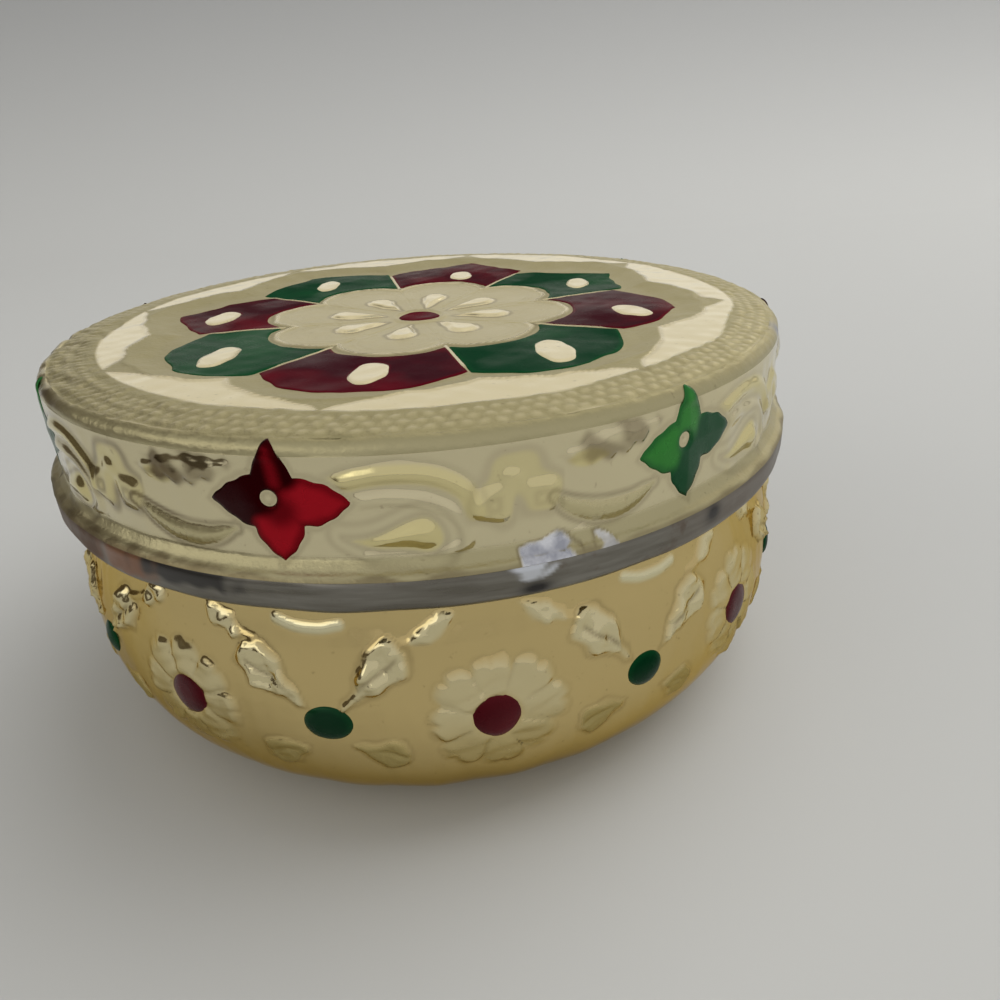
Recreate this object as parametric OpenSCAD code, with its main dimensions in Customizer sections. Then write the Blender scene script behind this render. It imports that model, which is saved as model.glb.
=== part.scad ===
// Round pressed-tin trinket box with a slip-on lid. Embossed gold foil covers the tin
// outside, enamel paint fills some of the motifs, and flock lines the inside.
// Millimetres, Z up. The origin is on the table, under the middle of the base.

/* [Overall] */
// Diameter across the lid's rolled bead
bead_d = 76; // [74:1:90]
// Height of the closed box
height = 38.3; // [36:0.1:50]
// Height of the lid, from the underside of its bead to its top
lid_h = 13.3; // [12.5:0.1:17]

/* [Sheets] */
// Thickness of the tin sheet
tin_t = 0.35; // [0.25:0.05:0.6]
// Thickness of the foil sheet with its glue
foil_t = 0.2; // [0.1:0.05:0.4]
// Height of the pressed relief above the ground of the foil
relief_h = 0.25; // [0.15:0.05:0.45]
// Thickness of the enamel above the ground of the foil
enamel_t = 0.3; // [0.2:0.05:0.6]
// Thickness of the flock lining
lining_t = 0.5; // [0.3:0.1:1]
// Width of the overlap where the ends of a foil strip meet
seam_lap = 4; // [2:0.5:8]
// Direction in which the lid's strip has its overlap
seam_direction = 73; // [60:1:85]

/* [Lid] */
// Width of the rolled bead, from the inside of the lid to the outer face of the bead
bead_w = 1.8; // [1.4:0.1:2.4]
// Height of the rolled bead
bead_h = 3.1; // [2.8:0.1:3.8]
// Radius of the rounded edge of the lid's tin
lid_edge_r = 0.8; // [0.6:0.1:1.4]
// How much narrower the lid's side is at the top than at the bead, all round
lid_draft = 0.2; // [0:0.1:0.6]
// Width of the sloping border round the lid's top
border_w = 4.1; // [3.2:0.1:6]
// Slope of the border, in degrees
border_slope = 7; // [2:0.5:10]
// Depth of the dish that the rosette lies in
dish_depth = 1.2; // [0.4:0.1:2]
// Play between the lid and the neck of the base, all round
lid_play = 0.35; // [0.2:0.05:0.6]
// Gap between the underside of the lid and the rim that it comes down on
seat_gap = 0.1; // [0.05:0.05:0.3]

/* [Base] */
// How far the belly stands out past the neck
bulge = 1.85; // [1:0.05:4]
// Radius of the rounded bottom corner
corner_r = 13.3; // [9:0.1:15]
// Radius of the hollow curve between belly and neck
neck_hollow_r = 8; // [3:0.5:12]
// Width of the inward curl at the rim
rim_d = 2; // [1.4:0.1:3]
// Diameter of the raised panel in the floor
panel_d = 36; // [20:1:44]
// Rise of the panel in the floor
panel_rise = 0.8; // [0.4:0.1:1.5]
// Gap between the top of the base's foil and the underside of the lid
foil_gap = 0.2; // [0.1:0.1:1]
// Part of the bottom corner, in degrees from its foot, that the foil leaves bare
bare_turn = 20; // [18:1:40]

/* [Rosette on the lid] */
// Petals, alternately red and green
petal_count = 8; // [6:2:10]
// Direction of the first red petal
petal_direction = -103.9; // [-120:0.1:-90]
// Width of the flat field between the border and the contour round the petals
field_w = 2.8; // [2:0.1:4]
// Distance from the tips of the inner flower to the tips of the petals
petal_l = 10.8; // [9:0.1:12]
// Radius of a petal's round end
petal_end_r = 10.5; // [9:0.1:11.5]
// Width of the raised line between two petals
rib_w = 0.7; // [0.4:0.1:1.2]
// Width of the raised contour round the petals
contour_w = 2.6; // [1.5:0.1:3]
// Radius of the inner flower's round lobes
heart_lobe_r = 5.6; // [5:0.1:6.5]
// Distance from a petal's tip to the middle of its bare spot
spot_in = 5; // [4:0.1:7]
// Length of the bare spot
spot_l = 4.6; // [3:0.1:6]
// Width of the bare spot
spot_w = 2.8; // [1.5:0.1:4]
// Length of the pressed drops in the inner flower
drop_l = 6; // [4:0.1:7]
// Width of the pressed drops in the inner flower
drop_w = 3; // [2:0.1:3.2]
// Diameter of the red dot in the middle
heart_dot_d = 4.4; // [3:0.1:6]

/* [Flowers on the lid's side] */
// Flowers on the strip, alternately green and red
flower_count = 7; // [5:2:7]
// Angle from one flower to the next
flower_turn = 48.5; // [44:0.5:50]
// Direction of the middle flower of the strip
flower_direction = -107.2; // [-120:0.1:-90]
// Height of the flowers above the underside of the bead
flower_up = 8.3; // [7.5:0.1:8.6]
// Distance from the middle of a flower to its side tips
flower_w = 4.9; // [3.5:0.1:6]
// Distance from the middle of a flower to its upper and lower tips
flower_h = 4.2; // [3.5:0.1:4.3]
// Width of a flower's petals
flower_petal_w = 3.9; // [2.5:0.1:4.5]
// Diameter of a flower's bare middle
flower_eye_d = 1.9; // [1:0.1:3]
// Size of the four-lobed boss between two flowers
boss_d = 5.6; // [4:0.1:6.5]
// Length of the pressed drop beside each flower
paisley_l = 6.4; // [4:0.1:7]
// Width of the pressed drop beside each flower
paisley_w = 2.4; // [1.5:0.1:3]

/* [Daisies on the base] */
// Daisies round the belly, with a leaf sprig between each two
daisy_count = 9; // [6:1:9]
// Direction of the front daisy
daisy_direction = -85.3; // [-100:0.1:-70]
// Height of the daisies
daisy_z = 15; // [13:0.1:17]
// Distance from the middle of a daisy to its petal tips
daisy_r = 5.3; // [4:0.1:6]
// Petals of a daisy
daisy_petals = 8; // [6:1:10]
// Width of a daisy's petals
daisy_petal_w = 2.6; // [1.5:0.1:3]
// Diameter of a daisy's red middle
daisy_dot_d = 3.8; // [2.5:0.1:5]
// Diameter of the green dot in a sprig
sprig_dot_d = 3.3; // [2.5:0.1:4]
// Length of a sprig's leaves
sprig_leaf_l = 6.4; // [4:0.1:7]
// Width of a sprig's leaves
sprig_leaf_w = 2.8; // [1.5:0.1:3.5]

/* [Hidden] */
$fn = 96;
// Widest turn of one step along an arc of a turned outline
arc_step = 7;
// Straight steps along each side of a leaf
leaf_steps = 4;
// Prisms of motifs start this deep inside a surface and end as far outside
motif_reach = 6;
// Left free between two layers that lie on each other
hairline = 0.03;

// Levels and radii of the lid
lid_bottom = height - lid_h;
foil_relief_t = foil_t + relief_h;
lid_tin_top = height - foil_relief_t;
lid_in_r = bead_d / 2 - bead_w;
lid_out_r = lid_in_r + tin_t;
lid_top_r = lid_out_r - lid_draft;
lid_flat_r = lid_top_r - border_w;
lid_edge_mid_r = lid_top_r - lid_edge_r;
border_end_r = lid_edge_mid_r + lid_edge_r * sin(border_slope);
lid_edge_z = border_z(border_end_r) - lid_edge_r * cos(border_slope);
bead_r = bead_w / 2;
bead_low_z = lid_bottom + bead_r;
bead_high_z = lid_bottom + bead_h - bead_r;
bead_mid_r = lid_in_r + bead_r;
bead_end_turn = 100;
// The side foil's foot lies on the bead in this direction, and flares from this far above the bead
skirt_foot_turn = 50;
skirt_flare_h = 0.7;
// The thick part of the side foil's overlap ends this far from the foil's edges
seam_end = 0.4;

// Levels and radii of the base
neck_r = lid_in_r - lid_draft - lid_play;
neck_z = lid_bottom - foil_gap;
rim_r = rim_d / 2;
rim_mid_r = neck_r - rim_r;
rim_z = border_z(rim_mid_r) - (tin_t + seat_gap + rim_r) / cos(border_slope) + rim_r;
rim_end_turn = 230;
belly_r = neck_r + bulge;
floor_r = belly_r - corner_r;
panel_r = panel_d / 2;
// Belly and neck are two arcs that turn through one angle and meet in a tangent
belly_rise = neck_z - corner_r;
belly_turn = 2 * atan(bulge / belly_rise);
curves_r = belly_rise / sin(belly_turn);
hollow_r = min(neck_hollow_r, curves_r / 2);
belly_arc_r = curves_r - hollow_r;

// Linings
base_lining_z = rim_z - rim_d - tin_t;
lid_lining_r = min(neck_r - rim_d - lid_play - tin_t, lid_flat_r);

// Motifs
petal_turn = 360 / petal_count;
petal_tip_r = lid_flat_r - field_w - contour_w;
petal_mid_r = petal_tip_r - petal_end_r;
spot_at_r = petal_tip_r - spot_in;
dish_r = petal_tip_r + contour_w;
heart_mid_r = petal_tip_r - petal_l - heart_lobe_r;
heart_ring_w = 0.8;
drop_gap = 0.5;
drop_at_r = heart_dot_d / 2 + heart_ring_w + drop_gap + drop_l / 2;
flower_z = lid_bottom + flower_up;
flower_first = flower_direction - flower_turn * (flower_count - 1) / 2;
paisley_turn = 13;
paisley_drop = 2.3;
paisley_tilt = 78;
daisy_turn = 360 / daisy_count;
sprig_leaf_turns = [38, -38, 128, -128];
// The base's strip overlaps at the back, midway between a daisy and a sprig
base_seam_direction = daisy_direction + daisy_turn * (floor(daisy_count / 2) - 0.25);

function petal_angle(i) = petal_direction + petal_turn * i;
function flower_angle(i) = flower_first + flower_turn * i;
function daisy_angle(i) = daisy_direction + daisy_turn * i;
function sprig_angle(i) = daisy_angle(i) + daisy_turn / 2;
function names(stem, count) = [for (i = [1:count]) str(stem, "_", i)];

PETALS = names("petal_enamel", petal_count);
FLOWERS = names("flower_enamel", flower_count);
DAISIES = names("daisy_enamel", daisy_count);
SPRIGS = names("sprig_enamel", daisy_count);

// Colours
tin_colour = [0.45, 0.43, 0.4];
base_foil_colour = [0.8, 0.68, 0.42];
lid_foil_colour = [0.86, 0.79, 0.58];
red = [0.5, 0.04, 0.1];
green = [0.05, 0.32, 0.16];
flock_colour = [0.42, 0.03, 0.08];

// Outlines

// Points of an arc from one angle to another, without its first point if more is false
function arc(x, z, r, from, to, more = true) =
    let (steps = ceil(abs(to - from) / arc_step)) [
        for (i = [(more ? 0 : 1):steps])
            let (a = from + (to - from) * i / steps) [x + r * cos(a), z + r * sin(a)]
    ];

function reversed(line) = [for (i = [len(line) - 1:-1:0]) line[i]];

// The base's wall from the bottom corner up to the neck, at a distance out from the tin's outer face
function wall_line(out, from = -90) = concat(
    arc(floor_r, corner_r, corner_r + out, from, 0),
    arc(belly_r - belly_arc_r, corner_r, belly_arc_r + out, 0, belly_turn, false),
    arc(neck_r + hollow_r, neck_z, hollow_r - out, 180 + belly_turn, 180, false)
);

// The floor with its raised panel, from the middle out to the bottom corner
function floor_line(up) = [
    [0, panel_rise + up],
    [panel_r, panel_rise + up],
    [panel_r + panel_rise, up]
];

// Height of the lid's sloping border at a radius
function border_z(r) = lid_tin_top - (r - lid_flat_r) * tan(border_slope);

// The lid's top with its dish, from the middle out to the border
function top_line(up) = [
    [0, lid_tin_top - dish_depth + up],
    [dish_r, lid_tin_top + up],
    [lid_flat_r, lid_tin_top + up]
];

// Outer radius of the lid's tin at a height
function skirt_r(z) = lid_out_r - lid_draft * (z - bead_high_z) / (lid_edge_z - bead_high_z);

// The lid's round edge, and its edge and side down to a height, at a distance out from the tin
function lid_edge(out) = arc(lid_edge_mid_r, lid_edge_z, lid_edge_r + out, 90 - border_slope, 0);
function lid_line(out, low_z) = concat(lid_edge(out), [[skirt_r(low_z) + out, low_z]]);

// The sheet's two faces round the lid's bead and round the curl at the base's rim
function bead_line(r) = concat(
    arc(bead_mid_r, bead_low_z, r, 180, 360),
    arc(bead_mid_r, bead_high_z, r, 0, bead_end_turn)
);
function rim_line(r) = arc(rim_mid_r, rim_z - rim_r, r, 0, rim_end_turn);

// Flat shapes

// Pointed leaf made of two equal arcs, with its length along Y
module leaf(l, w) {
    r = (l * l + w * w) / (4 * w);
    half = asin(l / 2 / r);
    side = [
        for (i = [0:leaf_steps - 1])
            let (a = half * (2 * i / leaf_steps - 1)) [r * cos(a) - r + w / 2, r * sin(a)]
    ];
    polygon(concat(side, [for (point = side) -point]));
}

// Round drop with its point along -Y
module drop(d) {
    circle(d = d);
    rotate(225) square(d / 2);
}

// Wedge of the rosette that one petal lies in, less half a rib on both sides
module petal_wedge() {
    half = petal_turn / 2;
    inset = rib_w / 2 / sin(half);
    reach = petal_tip_r * 2;
    polygon([
        [inset, 0],
        [inset + reach * cos(half), reach * sin(half)],
        [inset + reach * cos(half), -reach * sin(half)]
    ]);
}

// One petal's cell with the bare spot left out, pointing along X
module petal_cell() {
    difference() {
        intersection() {
            petal_wedge();
            translate([petal_mid_r, 0]) circle(petal_end_r);
        }
        for (i = [-1:1]) rotate(petal_turn * i) translate([heart_mid_r, 0]) circle(heart_lobe_r + rib_w);
        circle(heart_mid_r);
        translate([spot_at_r, 0]) rotate(90) leaf(spot_l, spot_w);
    }
}

// Raised lines of the rosette: the contour round its petals, the ribs between them, and the
// drops and the ring of the inner flower
module rosette_lines() {
    difference() {
        for (i = [0:petal_count - 1])
            rotate(petal_angle(i)) translate([petal_mid_r, 0]) circle(petal_end_r + contour_w);
        for (i = [0:petal_count - 1]) rotate(petal_angle(i)) petal_cell();
        for (i = [0:petal_count - 1])
            rotate(petal_angle(i)) translate([heart_mid_r, 0]) circle(heart_lobe_r);
        circle(heart_mid_r);
    }
    for (i = [0:petal_count - 1])
        rotate(petal_angle(i)) translate([drop_at_r, 0]) rotate(90) leaf(drop_l, drop_w);
    difference() {
        circle(heart_dot_d / 2 + heart_ring_w);
        circle(heart_dot_d / 2);
    }
}

// Four petals round a bare middle
module flower() {
    difference() {
        union() {
            for (side = [-1, 1]) {
                translate([side * flower_w / 2, 0]) rotate(90) leaf(flower_w, flower_petal_w);
                translate([0, side * flower_h / 2]) leaf(flower_h, flower_petal_w);
            }
        }
        circle(d = flower_eye_d);
    }
}

// Squarish boss with four lobes
module boss() {
    lobe_r = boss_d / 4;
    circle(lobe_r);
    for (i = [0:3]) rotate(90 * i + 45) translate([lobe_r, 0]) circle(lobe_r);
}

// Petals of a daisy round its dot
module daisy() {
    l = daisy_r - daisy_dot_d / 2;
    for (i = [0:daisy_petals - 1])
        rotate(360 / daisy_petals * i) translate([0, daisy_dot_d / 2 + l / 2]) leaf(l, daisy_petal_w);
}

// Two upper and two lower leaves round a sprig's dot
module sprig() {
    for (turn = sprig_leaf_turns)
        rotate(turn) translate([0, (sprig_dot_d + sprig_leaf_l) / 2]) leaf(sprig_leaf_l, sprig_leaf_w);
}

// Layers that follow the tin, between two distances out from it

module wall_layer(inner, outer, from = -90) {
    rotate_extrude() polygon(concat(wall_line(outer, from), reversed(wall_line(inner, from))));
}

module skirt_layer(inner, outer, low_z) {
    rotate_extrude() polygon(concat(lid_line(outer, low_z), reversed(lid_line(inner, low_z))));
}

module top_layer(inner, outer) {
    rotate_extrude() polygon(concat(top_line(outer), reversed(top_line(inner))));
}

// A flat shape pushed up through the lid's top
module on_top() {
    translate([0, 0, lid_tin_top - motif_reach]) linear_extrude(2 * motif_reach) children();
}

// A flat shape pushed out through the wall, facing outward at an angle and a height
module on_wall(wall_r, angle, z) {
    rotate(angle) translate([wall_r - motif_reach, 0, z]) rotate([90, 0, 90])
        linear_extrude(2 * motif_reach) children();
}

module on_belly(angle, z) {
    on_wall(belly_r, angle, z) children();
}

module on_skirt(angle, z) {
    on_wall(lid_out_r, angle, z) children();
}

// Sub-parts of the base

module base_shell() {
    outer = concat(floor_line(0), wall_line(0), rim_line(rim_r));
    inner = concat(floor_line(tin_t), wall_line(-tin_t), rim_line(rim_r - tin_t));
    color(tin_colour) rotate_extrude() polygon(concat(outer, reversed(inner)));
}

module base_foil() {
    from = bare_turn - 90;
    color(base_foil_colour) {
        wall_layer(hairline, foil_t, from);
        intersection() {
            wall_layer(foil_t / 2, foil_relief_t, from);
            union() {
                for (i = [0:daisy_count - 1]) {
                    on_belly(daisy_angle(i), daisy_z) daisy();
                    on_belly(sprig_angle(i), daisy_z) sprig();
                }
                on_belly(base_seam_direction, 0) translate([-seam_lap / 2, 0]) square([seam_lap, neck_z]);
            }
        }
    }
}

module base_lining() {
    in = tin_t + lining_t;
    outer = concat(floor_line(tin_t), wall_line(-tin_t), [[neck_r - tin_t, base_lining_z]]);
    inner = concat(floor_line(in), wall_line(-in), [[neck_r - in, base_lining_z]]);
    color(flock_colour) rotate_extrude() polygon(concat(outer, reversed(inner)));
}

module daisy_enamel(i) {
    color(red) intersection() {
        wall_layer(foil_t + hairline, foil_t + enamel_t);
        on_belly(daisy_angle(i), daisy_z) circle(d = daisy_dot_d);
    }
}

module sprig_enamel(i) {
    color(green) intersection() {
        wall_layer(foil_t + hairline, foil_t + enamel_t);
        on_belly(sprig_angle(i), daisy_z) drop(sprig_dot_d);
    }
}

// Sub-parts of the lid

module lid_shell() {
    outer = concat(top_line(0), lid_line(0, bead_high_z), bead_line(bead_r - tin_t));
    inner = concat(top_line(-tin_t), lid_line(-tin_t, bead_high_z), bead_line(bead_r));
    color(tin_colour) rotate_extrude() polygon(concat(outer, reversed(inner)));
}

module lid_top_foil() {
    outer = concat(top_line(foil_t), lid_edge(foil_t));
    inner = concat(top_line(hairline), lid_edge(hairline));
    color(lid_foil_colour) {
        rotate_extrude() polygon(concat(outer, reversed(inner)));
        intersection() {
            top_layer(foil_t / 2, foil_relief_t);
            on_top() rosette_lines();
        }
    }
}

module lid_side_foil() {
    foot_r = bead_r + hairline;
    foot = [bead_mid_r, bead_high_z] + foot_r * [cos(skirt_foot_turn), sin(skirt_foot_turn)];
    flare_z = lid_bottom + bead_h + skirt_flare_h;
    color(lid_foil_colour) {
        rotate_extrude() polygon([
            [skirt_r(lid_edge_z) + hairline, lid_edge_z],
            [skirt_r(flare_z) + hairline, flare_z],
            foot,
            foot + foil_t * [cos(skirt_foot_turn), sin(skirt_foot_turn)],
            [skirt_r(flare_z) + foil_t, flare_z + foil_t],
            [skirt_r(lid_edge_z) + foil_t, lid_edge_z]
        ]);
        intersection() {
            skirt_layer(foil_t / 2, foil_relief_t, flare_z);
            union() {
                for (i = [0:flower_count - 2])
                    on_skirt(flower_angle(i) + flower_turn / 2, flower_z) boss();
                for (i = [0:flower_count - 1])
                    on_skirt(flower_angle(i) + paisley_turn, flower_z - paisley_drop)
                        rotate(paisley_tilt) leaf(paisley_l, paisley_w);
                on_skirt(seam_direction, flare_z + seam_end) translate([-seam_lap / 2, 0])
                    square([seam_lap, lid_edge_z - flare_z - 2 * seam_end]);
            }
        }
    }
}

module lid_lining() {
    top = -tin_t - hairline;
    color(flock_colour) intersection() {
        top_layer(top - lining_t, top);
        on_top() circle(lid_lining_r);
    }
}

module heart_enamel() {
    color(red) intersection() {
        top_layer(foil_t + hairline, foil_t + enamel_t);
        on_top() circle(d = heart_dot_d);
    }
}

module petal_enamel(i) {
    color(i % 2 == 0 ? red : green) intersection() {
        top_layer(foil_t + hairline, foil_t + enamel_t);
        on_top() rotate(petal_angle(i)) petal_cell();
    }
}

module flower_enamel(i) {
    color(i % 2 == 1 ? red : green) intersection() {
        skirt_layer(foil_t + hairline, foil_t + enamel_t, bead_high_z);
        on_skirt(flower_angle(i), flower_z) flower();
    }
}

base_shell();
base_foil();
base_lining();
for (i = [0:daisy_count - 1]) {
    daisy_enamel(i);
    sprig_enamel(i);
}
lid_shell();
lid_top_foil();
lid_side_foil();
lid_lining();
heart_enamel();
for (i = [0:petal_count - 1]) {
    petal_enamel(i);
}
for (i = [0:flower_count - 1]) {
    flower_enamel(i);
}
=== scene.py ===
"""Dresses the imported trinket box: embossed gold foil over pressed tin, enamel motifs and flock."""
import math

import bpy
import numpy as np
from mathutils import Matrix, Vector


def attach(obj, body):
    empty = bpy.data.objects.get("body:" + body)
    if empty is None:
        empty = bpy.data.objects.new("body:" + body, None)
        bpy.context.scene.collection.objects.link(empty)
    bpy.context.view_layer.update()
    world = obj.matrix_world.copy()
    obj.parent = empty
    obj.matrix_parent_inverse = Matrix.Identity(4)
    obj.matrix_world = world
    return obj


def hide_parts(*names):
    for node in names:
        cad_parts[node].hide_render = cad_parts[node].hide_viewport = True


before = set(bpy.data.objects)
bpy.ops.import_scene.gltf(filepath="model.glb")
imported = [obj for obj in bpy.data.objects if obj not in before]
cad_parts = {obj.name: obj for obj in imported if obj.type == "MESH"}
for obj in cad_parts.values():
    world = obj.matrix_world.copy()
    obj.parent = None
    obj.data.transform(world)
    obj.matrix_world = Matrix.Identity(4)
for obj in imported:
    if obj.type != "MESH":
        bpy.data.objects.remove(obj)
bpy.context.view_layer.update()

MM = 0.001

# Sizes of the box in mm, as in the part's source
TIN, FOIL, HAIR = 0.35, 0.2, 0.03
LID_BOTTOM, LID_TIN_TOP = 25.0, 37.85
LID_OUT_R, LID_DRAFT, EDGE_R = 36.55, 0.2, 0.8
BORDER_W, BORDER_SLOPE = 4.1, math.radians(7)
BEAD_W, BEAD_H, BEAD_END = 1.8, 3.1, 100
LID_PLAY, SEAT_GAP, RIM_D, RIM_TURN = 0.35, 0.1, 2.0, 230
BULGE, CORNER_R, HOLLOW_R, NECK_Z = 1.85, 13.3, 8.0, 24.8
PANEL_R, PANEL_RISE, LINING = 18.0, 0.8, 0.5
BARE_TURN, SEAM_LAP, SIDE_END = 20, 4.0, 35
SEAM_LID, SEAM_BASE = 73.0, 64.7
PETALS, PETAL_AT, PETAL_TIP = 8, -103.9, 26.85
HEART_TIP, HEART_LOBE, HEART_DOT = 16.05, 5.6, 4.4
FLOWERS, FLOWER_FIRST, FLOWER_TURN, FLOWER_Z = 7, -252.7, 48.5, 33.3
DAISIES, DAISY_AT, DAISY_Z, DAISY_R, DAISY_DOT, SPRIG_DOT = 9, -85.3, 14.6, 5.3, 4.1, 3.5

# Each petal's end: radius of its tip, degrees that the tip leans, and how far its point stands out
PETAL_TIPS = [(27.2, 0, 0.2), (27.5, -2, 0.6), (27.3, -2, 1.0), (26.9, -4, 1.2),
              (27.1, -3, 1.0), (27.0, 0, 0.8), (26.2, 3, 0.7), (26.9, 6, 0.2)]
# Each petal's bare spot: radius, distance to the side, half length, half width, and degrees that it leans
SPOTS = np.array([(21.8, 0.7, 2.8, 1.4, 5), (22.2, -0.2, 3.4, 1.4, -29), (22.5, -1.8, 2.5, 1.2, -56),
                  (20.8, -2.6, 2.1, 1.1, 49), (19.6, -1.2, 2.0, 1.2, 10), (20.8, 0.4, 2.3, 1.1, -38),
                  (21.4, 1.9, 2.5, 1.3, 90), (22.2, 1.4, 3.1, 1.3, 49)])
# Rows of beads round the lid's border: beads in a row, and how far each row lies from the flat field
BORDER_BEADS, BORDER_ROWS = 180, (0.75, 1.7, 2.65)
# Blades of a leaf sprig: degrees from upright, length, half width, height, depth of the folds, and how far
# the blade starts below the middle of the dot
BLADES = [(46, 9.2, 1.9, 0.42, 0.2, 0.0), (110, 6.6, 1.7, 0.2, 0.05, 1.7)]
BLADE_ROOT, DAISY_PETALS = 1.9, 8

# Depth of the scalloped step round the rosette, of its dish below that, and of the tin under the flat field,
# and how far inside the foil's edges the tin's own steps lie
STEP_DEPTH, DISH_DEPTH, FIELD_DIP, STEP_INSET = 0.4, 0.8, 0.05, 1.0
# The lid's strip leaves the bead at an angle up round it. Then a fillet, with its foot and its middle at
# these heights, turns it up along the side.
FLARE_TURN, FLARE_FOOT_Z, FLARE_Z, FLARE_R = 78, 29.0, 29.1, 0.3
# How far a strip's motifs reach from their flower, where a petal's own coordinates start, and how deep the
# underside of a pad of enamel lies
MOTIF_REACH, PETAL_MID_R, PAD_SUNK = 20, 20, 0.1

# Directions in degrees: the wear of the lid's foil and the middle of its creases' painted reflection at the
# left, the wear of its bead, and the widest place of its border
CRUSHED_AT, RUBBED_AT, DARK_REFLECTION_AT, TORN_AT, RUSTY_AT = -165, -27, -142, -78.5, -132
STAIN_AT, DULL_AT, RUST_AT, BLACK_AT, BRIGHT_AT = -151, -36, -130, -119.5, -80.6
WIDE_BORDER_AT = -170
# The bead's chips: direction, height, and how far each reaches along in degrees and up in mm
CHIPS = [(-80.3, 25.9, 1.7, 0.5), (-55.3, 27.0, 1.3, 0.7)]

# Points round the axis in each mesh, and steps along its outline in mm
TOP_COLUMNS, SIDE_COLUMNS, BELLY_COLUMNS = 900, 1200, 1150
LID_TIN_COLUMNS, BASE_TIN_COLUMNS, FLOCK_COLUMNS = 900, 360, 240
TOP_STEP, SIDE_STEP, BELLY_STEP, UNDER_STEP, ENAMEL_STEP, DOT_STEP = 0.25, 0.2, 0.21, 1.5, 0.12, 0.1

LID_IN_R = LID_OUT_R - TIN
LID_TOP_R = LID_OUT_R - LID_DRAFT
FLAT_R = LID_TOP_R - BORDER_W
EDGE_MID_R = LID_TOP_R - EDGE_R
LOBE_MID_R = HEART_TIP - HEART_LOBE


def border_z(r):
    """Height of the tin under the lid's sloping border."""
    return LID_TIN_TOP - (r - FLAT_R) * math.tan(BORDER_SLOPE)


EDGE_Z = border_z(EDGE_MID_R + EDGE_R * math.sin(BORDER_SLOPE)) - EDGE_R * math.cos(BORDER_SLOPE)
BEAD_R = BEAD_W / 2
BEAD_MID_R = LID_IN_R + BEAD_R
BEAD_LOW_Z, BEAD_HIGH_Z = LID_BOTTOM + BEAD_R, LID_BOTTOM + BEAD_H - BEAD_R
NECK_R = LID_IN_R - LID_DRAFT - LID_PLAY
RIM_R = RIM_D / 2
RIM_MID_R = NECK_R - RIM_R
RIM_Z = border_z(RIM_MID_R) - (TIN + SEAT_GAP + RIM_R) / math.cos(BORDER_SLOPE) + RIM_R
BELLY_R = NECK_R + BULGE
FLOOR_R = BELLY_R - CORNER_R
BELLY_TURN = 2 * math.degrees(math.atan(BULGE / (NECK_Z - CORNER_R)))
BELLY_ARC_R = (NECK_Z - CORNER_R) / math.sin(math.radians(BELLY_TURN)) - HOLLOW_R
FIELD_Z, FIELD_TIN_Z = LID_TIN_TOP + FOIL, LID_TIN_TOP - FIELD_DIP
SIDE_MEAN_R, BELLY_MEAN_R = LID_OUT_R + FOIL, BELLY_R + FOIL
DAISY_TURN = 360 / DAISIES


# Small tools for shapes

def smooth(low, high, x):
    """0 at low, 1 at high, with soft ends."""
    t = np.clip((x - low) / (high - low), 0, 1)
    return t * t * (3 - 2 * t)


def ridge(d, half):
    """1 on a line, 0 at a distance half from it."""
    return 1 - smooth(0, half, np.abs(d))


def fold(angle, turn):
    """Angle from the nearest multiple of turn."""
    return (angle + turn / 2) % turn - turn / 2


def apart(az, at):
    """Degrees between two directions."""
    return np.abs(fold(az - at, 360))


def arc_from(az, at, r, turn=360):
    """Distance along a circle from a direction, or from the nearest of those that lie a turn apart."""
    return np.radians(fold(az - at, turn)) * r


def circle(x, y, r):
    return np.hypot(x, y) - r


def leaf(x, y, l, w):
    """Signed distance to a pointed leaf of two arcs, with its length along x."""
    r = (l * l + w * w) / (4 * w)
    off = r - w / 2
    px, py = np.abs(y), np.abs(x)
    beyond = (py - l / 2) * off > px * l / 2
    return np.where(beyond, np.hypot(px, py - l / 2), np.hypot(px + off, py) - r)


def drop(x, y, l, r):
    """Signed distance to a drop whose point is at the origin and whose round end lies along +x."""
    mid = l - r
    sin = r / mid
    cos = math.sqrt(1 - sin * sin)
    py = np.abs(y)
    along = x * cos + py * sin
    flank = py * cos - x * sin
    point = np.hypot(x, py)
    return np.where(along < 0, point, np.where(along < mid * cos, flank, np.hypot(x - mid, py) - r))


def turned(x, y, degrees):
    """Coordinates in a frame turned by an angle."""
    c, s = np.cos(np.radians(degrees)), np.sin(np.radians(degrees))
    return x * c + y * s, y * c - x * s


def path(x, y, points, steps=6):
    """Distance to a smooth curve through some points, and how far along it the nearest point is."""
    p = np.array(points, float)
    p = np.vstack([2 * p[0] - p[1], p, 2 * p[-1] - p[-2]])
    t = np.linspace(0, 1, steps, endpoint=False)[:, None]
    line = []
    for a, b, c, d in zip(p, p[1:], p[2:], p[3:]):
        line.append(0.5 * (2 * b + (c - a) * t + (2 * a - 5 * b + 4 * c - d) * t ** 2
                           + (3 * b - a - 3 * c + d) * t ** 3))
    line = np.vstack(line + [p[-2:-1]])
    best = np.full(np.shape(x), 1e9)
    at = np.zeros(np.shape(x))
    run = 0.0
    for a, b in zip(line, line[1:]):
        seg = b - a
        length = math.hypot(*seg)
        f = np.clip(((x - a[0]) * seg[0] + (y - a[1]) * seg[1]) / (length * length), 0, 1)
        d = np.hypot(x - a[0] - f * seg[0], y - a[1] - f * seg[1])
        nearer = d < best
        best = np.where(nearer, d, best)
        at = np.where(nearer, run + f * length, at)
        run += length
    return best, at / run


def crinkle(x, y, wave, seed, waves=9):
    """Seeded ripple of about the given wavelength, between about -1 and 1."""
    rng = np.random.default_rng(seed)
    total = 0
    for turn, phase, stretch in zip(rng.uniform(0, 2 * np.pi, waves), rng.uniform(0, 2 * np.pi, waves),
                                    rng.uniform(0.7, 1.5, waves)):
        total = total + np.sin((x * math.cos(turn) + y * math.sin(turn)) * 2 * np.pi / wave * stretch + phase)
    return total / math.sqrt(waves)


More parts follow.
